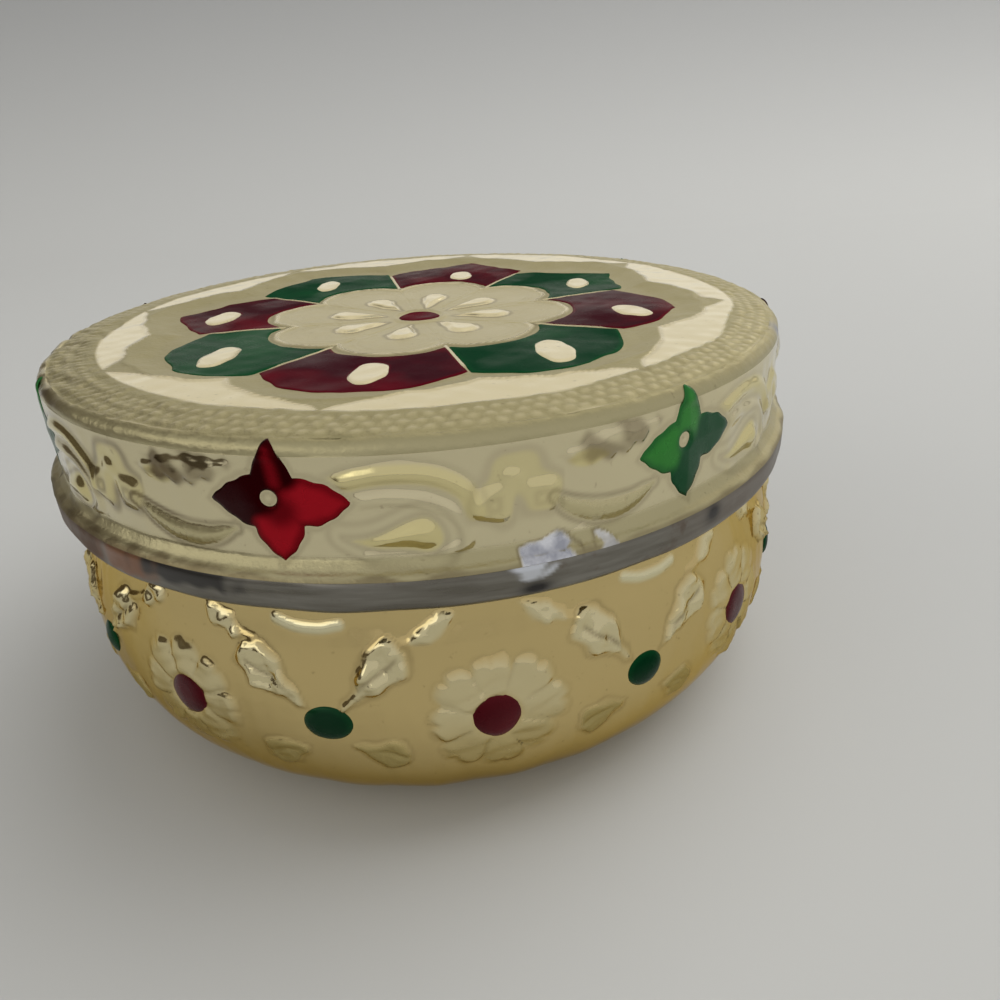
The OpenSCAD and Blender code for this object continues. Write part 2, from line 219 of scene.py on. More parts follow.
def crumple(x, y, wave, seed, folds=5):
    """Seeded sharp folds of about the given width, between about -1 and 1."""
    rng = np.random.default_rng(seed)
    x, y = x + 0.25 * wave * np.sin(2.1 * y / wave + seed), y + 0.25 * wave * np.sin(1.7 * x / wave - seed)
    total = 0
    for turn, shift, stretch in zip(rng.uniform(0, np.pi, folds), rng.uniform(0, 1, folds),
                                    rng.uniform(0.6, 1.4, folds)):
        across = (x * math.cos(turn) + y * math.sin(turn)) / wave * stretch
        total = total + 4 * np.abs(fold(across + shift, 1.0)) - 1
    return total / math.sqrt(folds)


def round_crinkle(az, z, low, high, wave, seed, waves=11):
    """Seeded ripple round the axis, with a whole number of waves per turn from low to high."""
    rng = np.random.default_rng(seed)
    total = 0
    for count, phase, rise in zip(rng.integers(low, high, waves), rng.uniform(0, 2 * np.pi, waves),
                                  rng.uniform(-1, 1, waves)):
        total = total + np.sin(np.radians(az) * count + z * rise * 2 * np.pi / wave + phase)
    return total / math.sqrt(waves)


# Turned outlines, as points of radius and height

def arc(r, z, radius, start, end, step=3.0):
    n = max(2, math.ceil(abs(end - start) / step) + 1)
    a = np.radians(np.linspace(start, end, n))
    return np.c_[r + radius * np.cos(a), z + radius * np.sin(a)]


def wall_line(out, start=-90):
    """The base's wall from the bottom corner up to the neck, at a distance out from the tin."""
    return np.vstack([
        arc(FLOOR_R, CORNER_R, CORNER_R + out, start, 0),
        arc(BELLY_R - BELLY_ARC_R, CORNER_R, BELLY_ARC_R + out, 0, BELLY_TURN)[1:],
        arc(NECK_R + HOLLOW_R, NECK_Z, HOLLOW_R - out, 180 + BELLY_TURN, 180)[1:],
    ])


def floor_line(up):
    return np.array([[0, PANEL_RISE + up], [PANEL_R, PANEL_RISE + up], [PANEL_R + PANEL_RISE, up]])


def rim_line(r):
    return arc(RIM_MID_R, RIM_Z - RIM_R, r, 0, RIM_TURN, 8)


def skirt_r(z):
    """Outer radius of the lid's tin at a height."""
    return LID_OUT_R - LID_DRAFT * (z - BEAD_HIGH_Z) / (EDGE_Z - BEAD_HIGH_Z)


def dish_line(up):
    """The lid's tin under the rosette, from the middle out to the border."""
    return np.array([
        [0, LID_TIN_TOP - STEP_DEPTH - DISH_DEPTH + up],
        [PETAL_TIP - STEP_INSET, FIELD_TIN_Z - STEP_DEPTH + up],
        [FLAT_R - STEP_INSET, FIELD_TIN_Z + up],
    ])


def edge_line(out, step=8):
    """The lid's rounded edge, from the border down, at a distance out from the tin."""
    return arc(EDGE_MID_R, EDGE_Z, EDGE_R + out, 90 - math.degrees(BORDER_SLOPE), 0, step)


def bead_line(r):
    wall = np.linspace(BEAD_LOW_Z, BEAD_HIGH_Z, 8)[1:-1]
    return np.vstack([
        arc(BEAD_MID_R, BEAD_LOW_Z, r, 180, 360, 9),
        np.c_[np.full(len(wall), BEAD_MID_R + r), wall],
        arc(BEAD_MID_R, BEAD_HIGH_Z, r, 0, BEAD_END, 9),
    ])


def closed(there, back):
    """One outline that runs along a line and comes back along another."""
    return np.vstack([there, back[::-1]])


def crisp(rows):
    """Rows with one more just inside each end, so that a strip's shading stays true up to its edges."""
    inside = 0.9 * rows[0] + 0.1 * rows[1], 0.9 * rows[-1] + 0.1 * rows[-2]
    return np.insert(rows, (1, len(rows) - 1), inside, axis=0)


def run_along(line):
    """Distance along an outline at each of its points."""
    return np.r_[0, np.cumsum(np.hypot(*np.diff(line, axis=0).T))]


def resampled(line, step):
    """The same outline at even steps, and its outward normals."""
    run = run_along(line)
    at = np.linspace(0, run[-1], max(2, round(run[-1] / step) + 1))
    p = np.c_[np.interp(at, run, line[:, 0]), np.interp(at, run, line[:, 1])]
    t = np.gradient(p, axis=0)
    t /= np.hypot(*t.T)[:, None]
    return crisp(p), crisp(np.c_[t[:, 1], -t[:, 0]])


# Meshes

# What the points of a foil piece carry for its material: grain that also carries painted shade, painted
# shade and stains in the creases, bare tin, and painted highlight
FOIL_FIELDS = ("grain_and_shade", "shade_and_stain", "bare", "tint")


def new_object(name, data):
    obj = bpy.data.objects.new(name, data)
    bpy.context.scene.collection.objects.link(obj)
    return obj


def piece(name, points, faces, body, node, material, fields=None):
    """A mesh object in mm coordinates that rides on a body and stands for a CAD node."""
    mesh = bpy.data.meshes.new(name)
    mesh.from_pydata((np.asarray(points) * MM).tolist(), [], faces)
    mesh.update()
    for key, values in (fields or {}).items():
        attribute = mesh.attributes.new(key, "FLOAT", "POINT")
        attribute.data.foreach_set("value", np.asarray(values, np.float32).ravel())
    mesh.shade_smooth()
    mesh.materials.append(material)
    obj = new_object(name, mesh)
    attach(obj, body)
    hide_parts(node)


def directions(columns):
    """Even directions all round the axis in degrees, as one row."""
    return np.linspace(0, 360, columns, endpoint=False)[None, :]


def around(r, z, az):
    """Points at radii and heights, all round the axis."""
    a = np.radians(az)
    return np.stack([r * np.cos(a), r * np.sin(a), z + 0 * a], -1)


def grid_faces(rows, columns, wrap):
    """Quads between rows of points that run round the axis; the last row joins the first if wrap."""
    i, j = np.meshgrid(np.arange(rows if wrap else rows - 1), np.arange(columns), indexing="ij")
    low, high = i * columns, (i + 1) % rows * columns
    k = (j + 1) % columns
    return np.stack([low + j, low + k, high + k, high + j], -1).reshape(-1, 4).tolist()


def capped_faces(rows, columns):
    """Quads between rows of points, and a fan from each end row to one of two points that follow the rows."""
    faces = grid_faces(rows, columns, False)
    first, end = rows * columns, (rows - 1) * columns
    for j in range(columns):
        k = (j + 1) % columns
        faces.append([first, k, j])
        faces.append([first + 1, end + j, end + k])
    return faces


def turned_piece(name, outline, columns, body, node, material, shape, marks=None):
    """A solid of revolution from an outline that starts and ends on the axis. shape(r, z, az) moves its
    points, and marks(r, z, az) gives its surface fields."""
    az = directions(columns)
    r, z = shape(outline[1:-1, :1] + 0 * az, outline[1:-1, 1:] + 0 * az, az)
    points = np.vstack([around(r, z, az).reshape(-1, 3), [0, 0, outline[0, 1]], [0, 0, outline[-1, 1]]])
    fields = {key: np.r_[f.ravel(), 0, 0] for key, f in marks(r, z, az).items()} if marks else None
    piece(name, points, capped_faces(len(outline) - 2, columns), body, node, material, fields)


def strip_piece(name, line, under, columns, relief, body, node, material):
    """A strip of foil all round the axis, from its outline with normals and the outline of its underside.
    relief(az, z) gives its height and then its surface fields."""
    points, normals = line
    az = directions(columns) + 0 * points[:, :1]
    z = points[:, 1:] + 0 * az
    h, *fields = relief(az, z)
    outer = around(points[:, :1] + h * normals[:, :1], z + h * normals[:, 1:], az)
    inner = around(under[::-1, :1], under[::-1, 1:], az[:1])
    rest = np.zeros((len(inner), columns))
    fields = {key: np.concatenate([f, rest]) for key, f in zip(FOIL_FIELDS, fields)}
    both = np.concatenate([outer, inner])
    faces = grid_faces(len(both), columns, True)
    piece(name, both.reshape(-1, 3), faces, body, node, material, fields)


def pad(name, shape, size, cell, place, rise, body, node, material, wash=lambda x, y: 0 * x):
    """A thin pad whose outline is where shape(x, y) is 0. rise(x, y, depth) is its height at a depth inside
    the outline, place(x, y, h) puts its points on the surface that it lies on, and the last function is how
    far its paint goes to its thin colour, which on the side's flowers is painted light and shade."""
    nx, ny = math.ceil(size[0] / cell) + 2, math.ceil(size[1] / cell) + 2
    x, y = np.meshgrid(np.arange(-nx, nx + 1) * cell, np.arange(-ny, ny + 1) * cell, indexing="ij")
    inside = shape(x, y) < 0.35 * cell
    keep = inside[:-1, :-1] & inside[1:, :-1] & inside[:-1, 1:] & inside[1:, 1:]
    index = np.arange(x.size).reshape(x.shape)
    quads = np.stack([index[:-1, :-1], index[1:, :-1], index[1:, 1:], index[:-1, 1:]], -1)[keep]
    used, count = np.unique(quads, return_counts=True)
    px, py = x.ravel()[used], y.ravel()[used]
    rim = count < 4
    for _ in range(4):
        e = 1e-3
        d = shape(px, py)
        gx, gy = (shape(px + e, py) - d) / e, (shape(px, py + e) - d) / e
        push = np.clip(d / np.maximum(gx * gx + gy * gy, 0.2), -cell, cell)
        px, py = np.where(rim, px - push * gx, px), np.where(rim, py - push * gy, py)
    depth = np.maximum(-shape(px, py), 0)
    depth[rim] = 0
    quads = np.searchsorted(used, quads)
    edges = np.concatenate([quads[:, [k, (k + 1) % 4]] for k in range(4)])
    pairs = {tuple(e) for e in edges.tolist()}
    border = [e for e in edges.tolist() if (e[1], e[0]) not in pairs]
    n = len(px)
    points = np.vstack([place(px, py, rise(px, py, depth)), place(px, py, np.full(n, -PAD_SUNK))])
    faces = quads.tolist() + (quads[:, ::-1] + n).tolist() + [[b, a, a + n, b + n] for a, b in border]
    thin = wash(px, py)
    fields = {"depth": np.r_[depth, depth], "wash": np.r_[thin, thin]}
    piece(name, points, faces, body, node, material, fields)


# Materials

def linear(r, g, b):
    """Scene colour of an sRGB colour given in 0 to 255."""
    c = np.array([r, g, b]) / 255
    return (*np.where(c <= 0.04045, c / 12.92, ((c + 0.055) / 1.055) ** 2.4), 1)


class Nodes:
    """The node tree of a material or world, with short calls for the nodes that are used here."""

    def __init__(self, owner, shader="Principled BSDF", place="Object"):
        owner.use_nodes = True
        self.owner = owner
        self.tree = owner.node_tree
        self.shader = self.tree.nodes[shader]
        self.place = self.add("ShaderNodeTexCoord").outputs[place]

    def link(self, value, socket):
        if isinstance(value, bpy.types.NodeSocket):
            self.tree.links.new(value, socket)
        else:
            socket.default_value = value

    def add(self, kind, inputs=None, **settings):
        node = self.tree.nodes.new(kind)
        for key, value in settings.items():
            setattr(node, key, value)
        for key, value in (inputs or {}).items():
            self.link(value, node.inputs[key])
        return node

    def set(self, **values):
        for key, value in values.items():
            self.link(value, self.shader.inputs[key.replace("_", " ")])

    def attribute(self, name):
        return self.add("ShaderNodeAttribute", attribute_name=name).outputs["Fac"]

    def light_path(self, kind):
        return self.add("ShaderNodeLightPath").outputs[kind]

    def axes(self):
        return self.add("ShaderNodeSeparateXYZ", {0: self.place}).outputs

    def noise(self, scale, detail=3.0, rough=0.55, place=None):
        inputs = {"Vector": place or self.place, "Scale": scale, "Detail": detail, "Roughness": rough}
        return self.add("ShaderNodeTexNoise", inputs).outputs["Fac"]

    def stretched(self, sx, sy, sz):
        return self.add("ShaderNodeMapping", {"Vector": self.place, "Scale": (sx, sy, sz)}).outputs["Vector"]

    def map(self, value, low, high, to_low=0.0, to_high=1.0):
        inputs = {"Value": value, "From Min": low, "From Max": high, "To Min": to_low, "To Max": to_high}
        return self.add("ShaderNodeMapRange", inputs).outputs["Result"]

    def math(self, operation, a, b, *rest):
        value = self.add("ShaderNodeMath", {0: a, 1: b}, operation=operation).outputs[0]
        return self.math(operation, value, *rest) if rest else value

    def mix(self, factor, a, b):
        node = self.add("ShaderNodeMix", {"Factor": factor}, data_type="RGBA")
        colours = [s for s in node.inputs if s.type == "RGBA"]
        self.link(a, colours[0])
        self.link(b, colours[1])
        return [s for s in node.outputs if s.type == "RGBA"][0]

    def bump(self, height, distance, strength=1.0):
        inputs = {"Height": height, "Strength": strength, "Distance": distance}
        return self.add("ShaderNodeBump", inputs).outputs["Normal"]


def new_material(name):
    return Nodes(bpy.data.materials.new(name))


def foil_material(name, mirror, highlight_colour, grain_and_shade, shade_and_stain_colour, edge):
    """Gold lacquered foil: mirror flats, raised forms painted paler as a painted highlight, finely grained
    grounds whose darker tone also serves as painted shade, brown in the creases that is painted shade with
    some stains, brown specks of dirt, and silver where the lacquer is gone. edge tints what it mirrors at a
    low angle."""
    m = new_material(name)
    grain_and_shade_amount, shade_and_stain, bare, tint = (m.attribute(key) for key in FOIL_FIELDS)
    cloud = m.noise(160, 4)
    colour = m.mix(grain_and_shade_amount, m.mix(tint, mirror, highlight_colour), grain_and_shade)
    colour = m.mix(m.math("MULTIPLY", shade_and_stain, m.map(cloud, 0.3, 0.7, 0.5, 1.0)), colour, shade_and_stain_colour)
    speck = m.map(m.noise(1500, 2), 0.68, 0.76)
    colour = m.mix(m.math("MULTIPLY", speck, 0.25), colour, shade_and_stain_colour)
    flake = m.map(m.noise(520, 3), 0.4, 0.6)
    colour = m.mix(bare, colour, m.mix(flake, linear(168, 170, 180), linear(222, 223, 228)))
    rough = m.math("ADD", m.map(grain_and_shade_amount, 0, 1, 0.12, 0.48), m.map(cloud, 0.3, 0.7, -0.03, 0.04))
    rough = m.math("ADD", rough, m.map(bare, 0, 1, 0.0, 0.15))
    grit = m.math("ADD", m.math("MULTIPLY", m.noise(2600, 3), m.map(grain_and_shade_amount, 0, 1, 0.04, 1.0)),
                  m.math("MULTIPLY", m.noise(900, 4), m.map(bare, 0, 1, 0.0, 0.7)))
    m.set(Base_Color=colour, Metallic=1.0, Roughness=rough, Specular_Tint=edge,
          Normal=m.bump(grit, 0.00012, 0.55))
    return m.owner


def enamel_material(name, thin, thick, metallic, gloss, edge_wash=0.7, cloud_wash=0.7):
    """Translucent paint on foil: lighter where it is thin, at its edge and in clouds, and where painted light
    is marked on its points.
    """
    m = new_material(name)
    edge = m.map(m.attribute("depth"), 0.0, 0.45, edge_wash, 0.0)
    wash = m.math("MAXIMUM", m.map(m.noise(95, 2), 0.46, 0.66, 0.0, cloud_wash), m.attribute("wash"))
    cloud = m.noise(420, 3)
    colour = m.mix(m.math("MAXIMUM", edge, wash), thick, thin)
    sheen = m.map(m.noise(70, 2), 0.42, 0.64, 0.0, gloss)
    m.set(Base_Color=colour, Metallic=metallic, Roughness=m.map(cloud, 0.3, 0.7, 0.2, 0.32),
          Specular_IOR_Level=sheen, Normal=m.bump(m.noise(420, 2), 0.0001, 0.45))
    return m.owner


def tin_material():
    """Dull pressed tin with brown stains, rust, dark chips, painted shade along the bead's lower edge, bright
    rubbed spots and fine scratches.
    """
    m = new_material("tin")
    stain, rust, dark_chips_and_shade, bright = (m.attribute(key) for key in ("stain", "rust", "chip", "bright"))
    cloud = m.noise(260, 4, 0.6)
    streak = m.noise(700, 3, 0.5, m.stretched(0.2, 0.2, 2.0))
    colour = m.mix(m.map(streak, 0.35, 0.65), linear(110, 106, 97), linear(134, 131, 123))
    stained = m.math("MULTIPLY", stain, m.map(cloud, 0.3, 0.6, 0.6, 1.0))
    dirt = m.math("MAXIMUM", m.map(cloud, 0.58, 0.72, 0.0, 0.5), stained)
    colour = m.mix(dirt, colour, linear(88, 62, 42))
    colour = m.mix(rust, colour, linear(122, 84, 58))
    colour = m.mix(dark_chips_and_shade, colour, linear(30, 26, 24))
    colour = m.mix(bright, colour, linear(214, 217, 224))
    dull = m.math("MAXIMUM", stain, rust, dark_chips_and_shade)
    m.set(Base_Color=colour, Metallic=m.map(dull, 0, 1, 1.0, 0.3),
          Roughness=m.math("ADD", m.map(streak, 0.3, 0.7, 0.26, 0.34), m.math("MULTIPLY", dirt, 0.25)),
          Normal=m.bump(m.math("ADD", streak, cloud), 0.00004, 0.5))
    return m.owner


def flock_material():
    """Short dark red flock with a soft sheen."""
    m = new_material("flock")
    pile = m.noise(3500, 3)
    nap = m.noise(90, 3)
    colour = m.mix(m.map(nap, 0.35, 0.65), linear(96, 10, 22), linear(132, 20, 34))
    m.set(Base_Color=colour, Roughness=0.95, Sheen_Weight=0.6, Sheen_Roughness=0.45,
          Sheen_Tint=linear(225, 130, 140), Normal=m.bump(pile, 0.0003, 0.7))
    return m.owner


# Each foil: mirror, painted highlight, grain that also paints shade, brown of painted shade and stains,
# low-angle tint
LID_FOIL = foil_material("lid_foil", linear(219, 208, 171), linear(224, 211, 155), linear(173, 164, 124),
                         linear(82, 60, 34), (1, 1, 1, 1))
BASE_FOIL = foil_material("base_foil", linear(206, 184, 128), linear(222, 214, 176), linear(166, 152, 98),
                          linear(90, 68, 36), linear(240, 222, 178))
# Enamel of the rosette, of the side's flowers and of the dots, each with red before green. They are copies of
# one enamel: the rosette's darker as painted shade of its low view, the flowers' with a painted lit colour
# and a painted shaded colour, and the dots' darker as painted shade
SHADED_TOP_ENAMEL = [enamel_material("red_shaded_top", linear(104, 10, 26), linear(54, 8, 20), 0.06, 0.012, 0.7, 0.6),
        enamel_material("green_shaded_top", linear(17, 78, 40), linear(9, 54, 31), 0.04, 0.01, 0.7, 0.5)]
LIT_AND_SHADED_ENAMEL = [enamel_material("red_bright", linear(166, 24, 36), linear(44, 2, 5), 0.6, 0.4, 0.0, 0.0),
          enamel_material("green_lit_and_shaded", linear(54, 132, 54), linear(18, 74, 42), 0.6, 0.4, 0.0, 0.0)]
SHADED_ENAMEL = [enamel_material("red_shaded", linear(96, 6, 20), linear(66, 3, 13), 0.35, 0.3),
        enamel_material("green_shaded", linear(13, 68, 34), linear(7, 47, 25), 0.35, 0.3)]
TIN_PLATE = tin_material()
FLOCK = flock_material()


# Relief of the lid's top

def petal_frame(x, y):
    """Coordinates along and across the nearest petal of the rosette, and the radius."""
    rel = fold(np.degrees(np.arctan2(y, x)) - PETAL_AT, 360 / PETALS)
    r = np.hypot(x, y)
    return r * np.cos(np.radians(rel)), r * np.sin(np.radians(rel)), r


def pointed(px, py, tip, fall, point, lean=0.0):
    """Signed distance to an arch that rises to a point at a radius tip and falls towards its sides."""
    part = np.abs(np.degrees(np.arctan2(py, px)) - lean) * PETALS / 180
    return 0.8 * (np.hypot(px, py) - tip + fall * part ** 1.6 + point * (1 - np.exp(-7 * part)))


def petal_cell(px, py, number, rib, stray):
    """Signed distance to one petal's cell, without its bare spot. stray moves its outer and inner ends."""
    tip, lean, point = PETAL_TIPS[number]
    half = math.radians(180 / PETALS)
    wedge = np.abs(py) * math.cos(half) - px * math.sin(half) + rib / 2
    end = pointed(px, py, tip, 3.4, point, lean) + stray
    heart = HEART_LOBE + 0.4 - np.hypot(px - LOBE_MID_R, py) + 0.5 * np.abs(stray)
    return np.maximum(np.maximum(wedge, end), heart)


def spot(px, py, number):
    """Signed distance to the bare spot of a petal, a hand-painted oval."""
    radius, aside, long, wide, lean = np.moveaxis(SPOTS[number], -1, 0)
    along, across = turned(px - radius, py - aside, lean)
    ragged = 0.06 * np.sin(1.9 * along + number) * np.sin(2.3 * across + 1)
    return wide * (np.hypot(along / long, across / wide) - 1) + ragged


def dish(contour, r):
    """Height of the sunk rosette against the field: 0 or below."""
    return -STEP_DEPTH * smooth(0, -2.2, contour) - DISH_DEPTH * (1 - np.clip(r / PETAL_TIP, 0, 1))


def scallops(px, py, point):
    """Signed distance to the scalloped outline of the rosette's ground. Each scallop ends in a point that
    stands out by the given length."""
    return pointed(px, py, PETAL_TIP + 2.7 + point, 2.9, point)


def top_ripple(x, y):
    return 0.022 * crinkle(x, y, 6.5, 5) + 0.012 * crinkle(x, y, 2.6, 6)


def crushed(az):
    """1 where the lid's edge was knocked and its foil is crushed, at the left of the photograph's view."""
    return smooth(30, 12, apart(az, CRUSHED_AT))


def border_beads(az, r):
    """Rows of fine beads round the lid's border, every other row set off by half a bead."""
    bead = 0
    for k, row in enumerate(BORDER_ROWS):
        turn = az * BORDER_BEADS / 360 + 0.5 * (k % 2)
        bead = bead + np.maximum(0, 1 - (np.hypot(fold(turn, 1.0), (r - FLAT_R - row) / 1.1) / 0.42) ** 2)
    return bead


def top_relief(x, y):
    """Height above the field's level, how grained the foil is, and the painted shade in its creases, at
    points of the lid's top.
    """
    px, py, r = petal_frame(x, y)
    az = np.degrees(np.arctan2(y, x))
    wobble = crinkle(x, y, 13, 3)
    number = (np.round((az - PETAL_AT) * PETALS / 360) % PETALS).astype(int)
    stray = 0.25 * wobble + 0.14 * crinkle(x, y, 4.2, 4)
    contour, step = scallops(px, py, 2.5) + stray, scallops(px, py, 0.0) + stray
    lobe = np.minimum(circle(px - LOBE_MID_R, py, HEART_LOBE), r - LOBE_MID_R)
    lobe = lobe + 0.12 * crinkle(x, y, 4.0, 7)
    bare = spot(px, py, number) - 0.25
    tear = drop(px - 3.7, py, 6.1, 1.5) + 0.1 * crinkle(x, y, 3.1, 8)
    rib = r * np.sin(np.radians(180 / PETALS) - np.abs(np.arctan2(py, px)))
    ring_zone = smooth(0, 0.3, lobe) * smooth(-0.4, -1.6, pointed(px, py, PETAL_TIP, 3.4, 0.6))
    edge_r = FLAT_R - 0.4 - 0.5 * np.cos(np.radians(az - WIDE_BORDER_AT)) + 0.25 * wobble
    border = smooth(-0.12, 0.12, r - edge_r)
    bead = border_beads(az, r)

    h = dish(step, r) + 0.09 * ridge(step, 0.35)
    h = h + 0.13 * ridge(rib, 0.22) * ring_zone
    h = h + 0.2 * smooth(0.1, -0.25, bare)
    h = h + 0.16 * ridge(lobe + 0.3, 0.4) + 0.05 * ridge(lobe + 1.5, 0.3) + 0.04 * ridge(lobe + 2.2, 0.25)
    h = h - 0.06 * ridge(rib, 0.25) * smooth(0, -0.5, lobe) * smooth(3.5, 5, r)
    h = h + 0.26 * smooth(0.05, -0.6, tear)
    h = h + 0.2 * ridge(r - 2.65, 0.45)
    worn = 0.04 * crinkle(x, y, 1.7, 21) + 0.07 * crushed(az) * crumple(x, y, 3.4, 22)
    h = h + border * (0.09 * bead + worn) + top_ripple(x, y)

    beaded = border * smooth(FLAT_R + 4.2, FLAT_R + 3.3, r + 0.3 * wobble)
    grain_and_shade = np.maximum(smooth(0.08, -0.08, contour), beaded)
    grain_and_shade = grain_and_shade * (1 - 0.3 * border * np.clip(bead, 0, 1))
    for smooth_part in (bare, tear):
        grain_and_shade = grain_and_shade * smooth(-0.1, 0.1, smooth_part)
    grain_and_shade = grain_and_shade * (1 - 0.85 * ridge(rib, 0.3) * ring_zone)
    grain_and_shade = grain_and_shade * (1 - 0.8 * ridge(lobe + 0.3, 0.3) * smooth(-0.2, 0, bare))
    grain_and_shade = grain_and_shade * (1 - 0.35 * smooth(0, -0.5, lobe))
    # Brown lines along the scallops, the tears, the bare spots and the lobes: painted shade in the creases
    shade_and_stain = 0.25 * ridge(contour - 0.2, 0.25) + 0.5 * ridge(tear - 0.2, 0.3) + 0.5 * ridge(bare - 0.15, 0.25)
    shade_and_stain = np.maximum(shade_and_stain, 0.4 * ridge(lobe - 0.15, 0.25)) * smooth(2.5, 3.5, r)
    return h, grain_and_shade, np.clip(shade_and_stain, 0, 1)


def border_drop(r):
    """How far the sloping border lies below the field."""
    return np.maximum(r - FLAT_R, 0) * math.tan(BORDER_SLOPE)


def lip_ripple(az, z):
    return 0.04 * round_crinkle(az, z, 12, 40, 9, 31)


def make_lid_top():
    """The foil disc with its rosette and border, turned down over the lid's edge."""
    middle_r = 0.35
    az = directions(TOP_COLUMNS)
    a = np.radians(az)
    rounding = crisp(edge_line(FOIL, 9))
    lip_r, lip_z = rounding[:, :1], rounding[:, 1:]
    radii = np.arange(middle_r, lip_r[0, 0], TOP_STEP)[:, None]
    x, y = radii * np.cos(a), radii * np.sin(a)
    h, grain_and_shade, shade_and_stain = top_relief(x, y)
    flat = np.stack([x, y, FIELD_Z - border_drop(radii) + h], -1)

    x, y = lip_r * np.cos(a), lip_r * np.sin(a)
    down = np.linspace(0, 1, len(rounding))[:, None]
    fade = 1 - 0.7 * down
    dent = 0.03 * fade * crinkle(x, y, 1.7, 21) + lip_ripple(az, lip_z)
    dent = dent + 0.16 * fade * crushed(az) * crumple(x, y, 3.4, 22)
    lip = around(lip_r + dent * np.sin(np.pi * down), lip_z + dent * (1 - down), az)
    lip_grain = 0.75 + 0.2 * smooth(0.8, 0, down) - 0.45 * crushed(az)
    # Brown along the folds of the crushed foil: painted shade
    lip_crumple_shade = 0.95 * crushed(az) * ridge(down - 0.55 - 0.25 * crumple(x, y, 5.0, 23), 0.3)
    lip_bare = np.exp(-(apart(az, RUBBED_AT) / 2.2) ** 2 - ((lip_z - 37.0) / 0.7) ** 2)

    under = np.vstack([edge_line(HAIR)[::-1], dish_line(HAIR)[:0:-1], [[middle_r, dish_line(HAIR)[0, 1]]]])
    inner = around(under[:, :1], under[:, 1:], az)
    points = np.concatenate([flat, lip, inner])
    faces = [face[::-1] for face in capped_faces(len(points), TOP_COLUMNS)]
    points = np.vstack([points.reshape(-1, 3), [0, 0, flat[0, :, 2].mean()], [0, 0, under[-1, 1]]])
    rest = np.zeros(len(inner) * TOP_COLUMNS + 2)
    plain = 0 * grain_and_shade
    tops, lips = (grain_and_shade, shade_and_stain, plain, plain), (lip_grain, lip_crumple_shade, lip_bare, 0 * lip_bare)
    fields = {key: np.r_[top.ravel(), edge.ravel(), rest] for key, top, edge in zip(FOIL_FIELDS, tops, lips)}
    piece("lid_top_embossed", points, faces, "lid", "lid_top_foil", LID_FOIL, fields)


# Relief of the lid's side

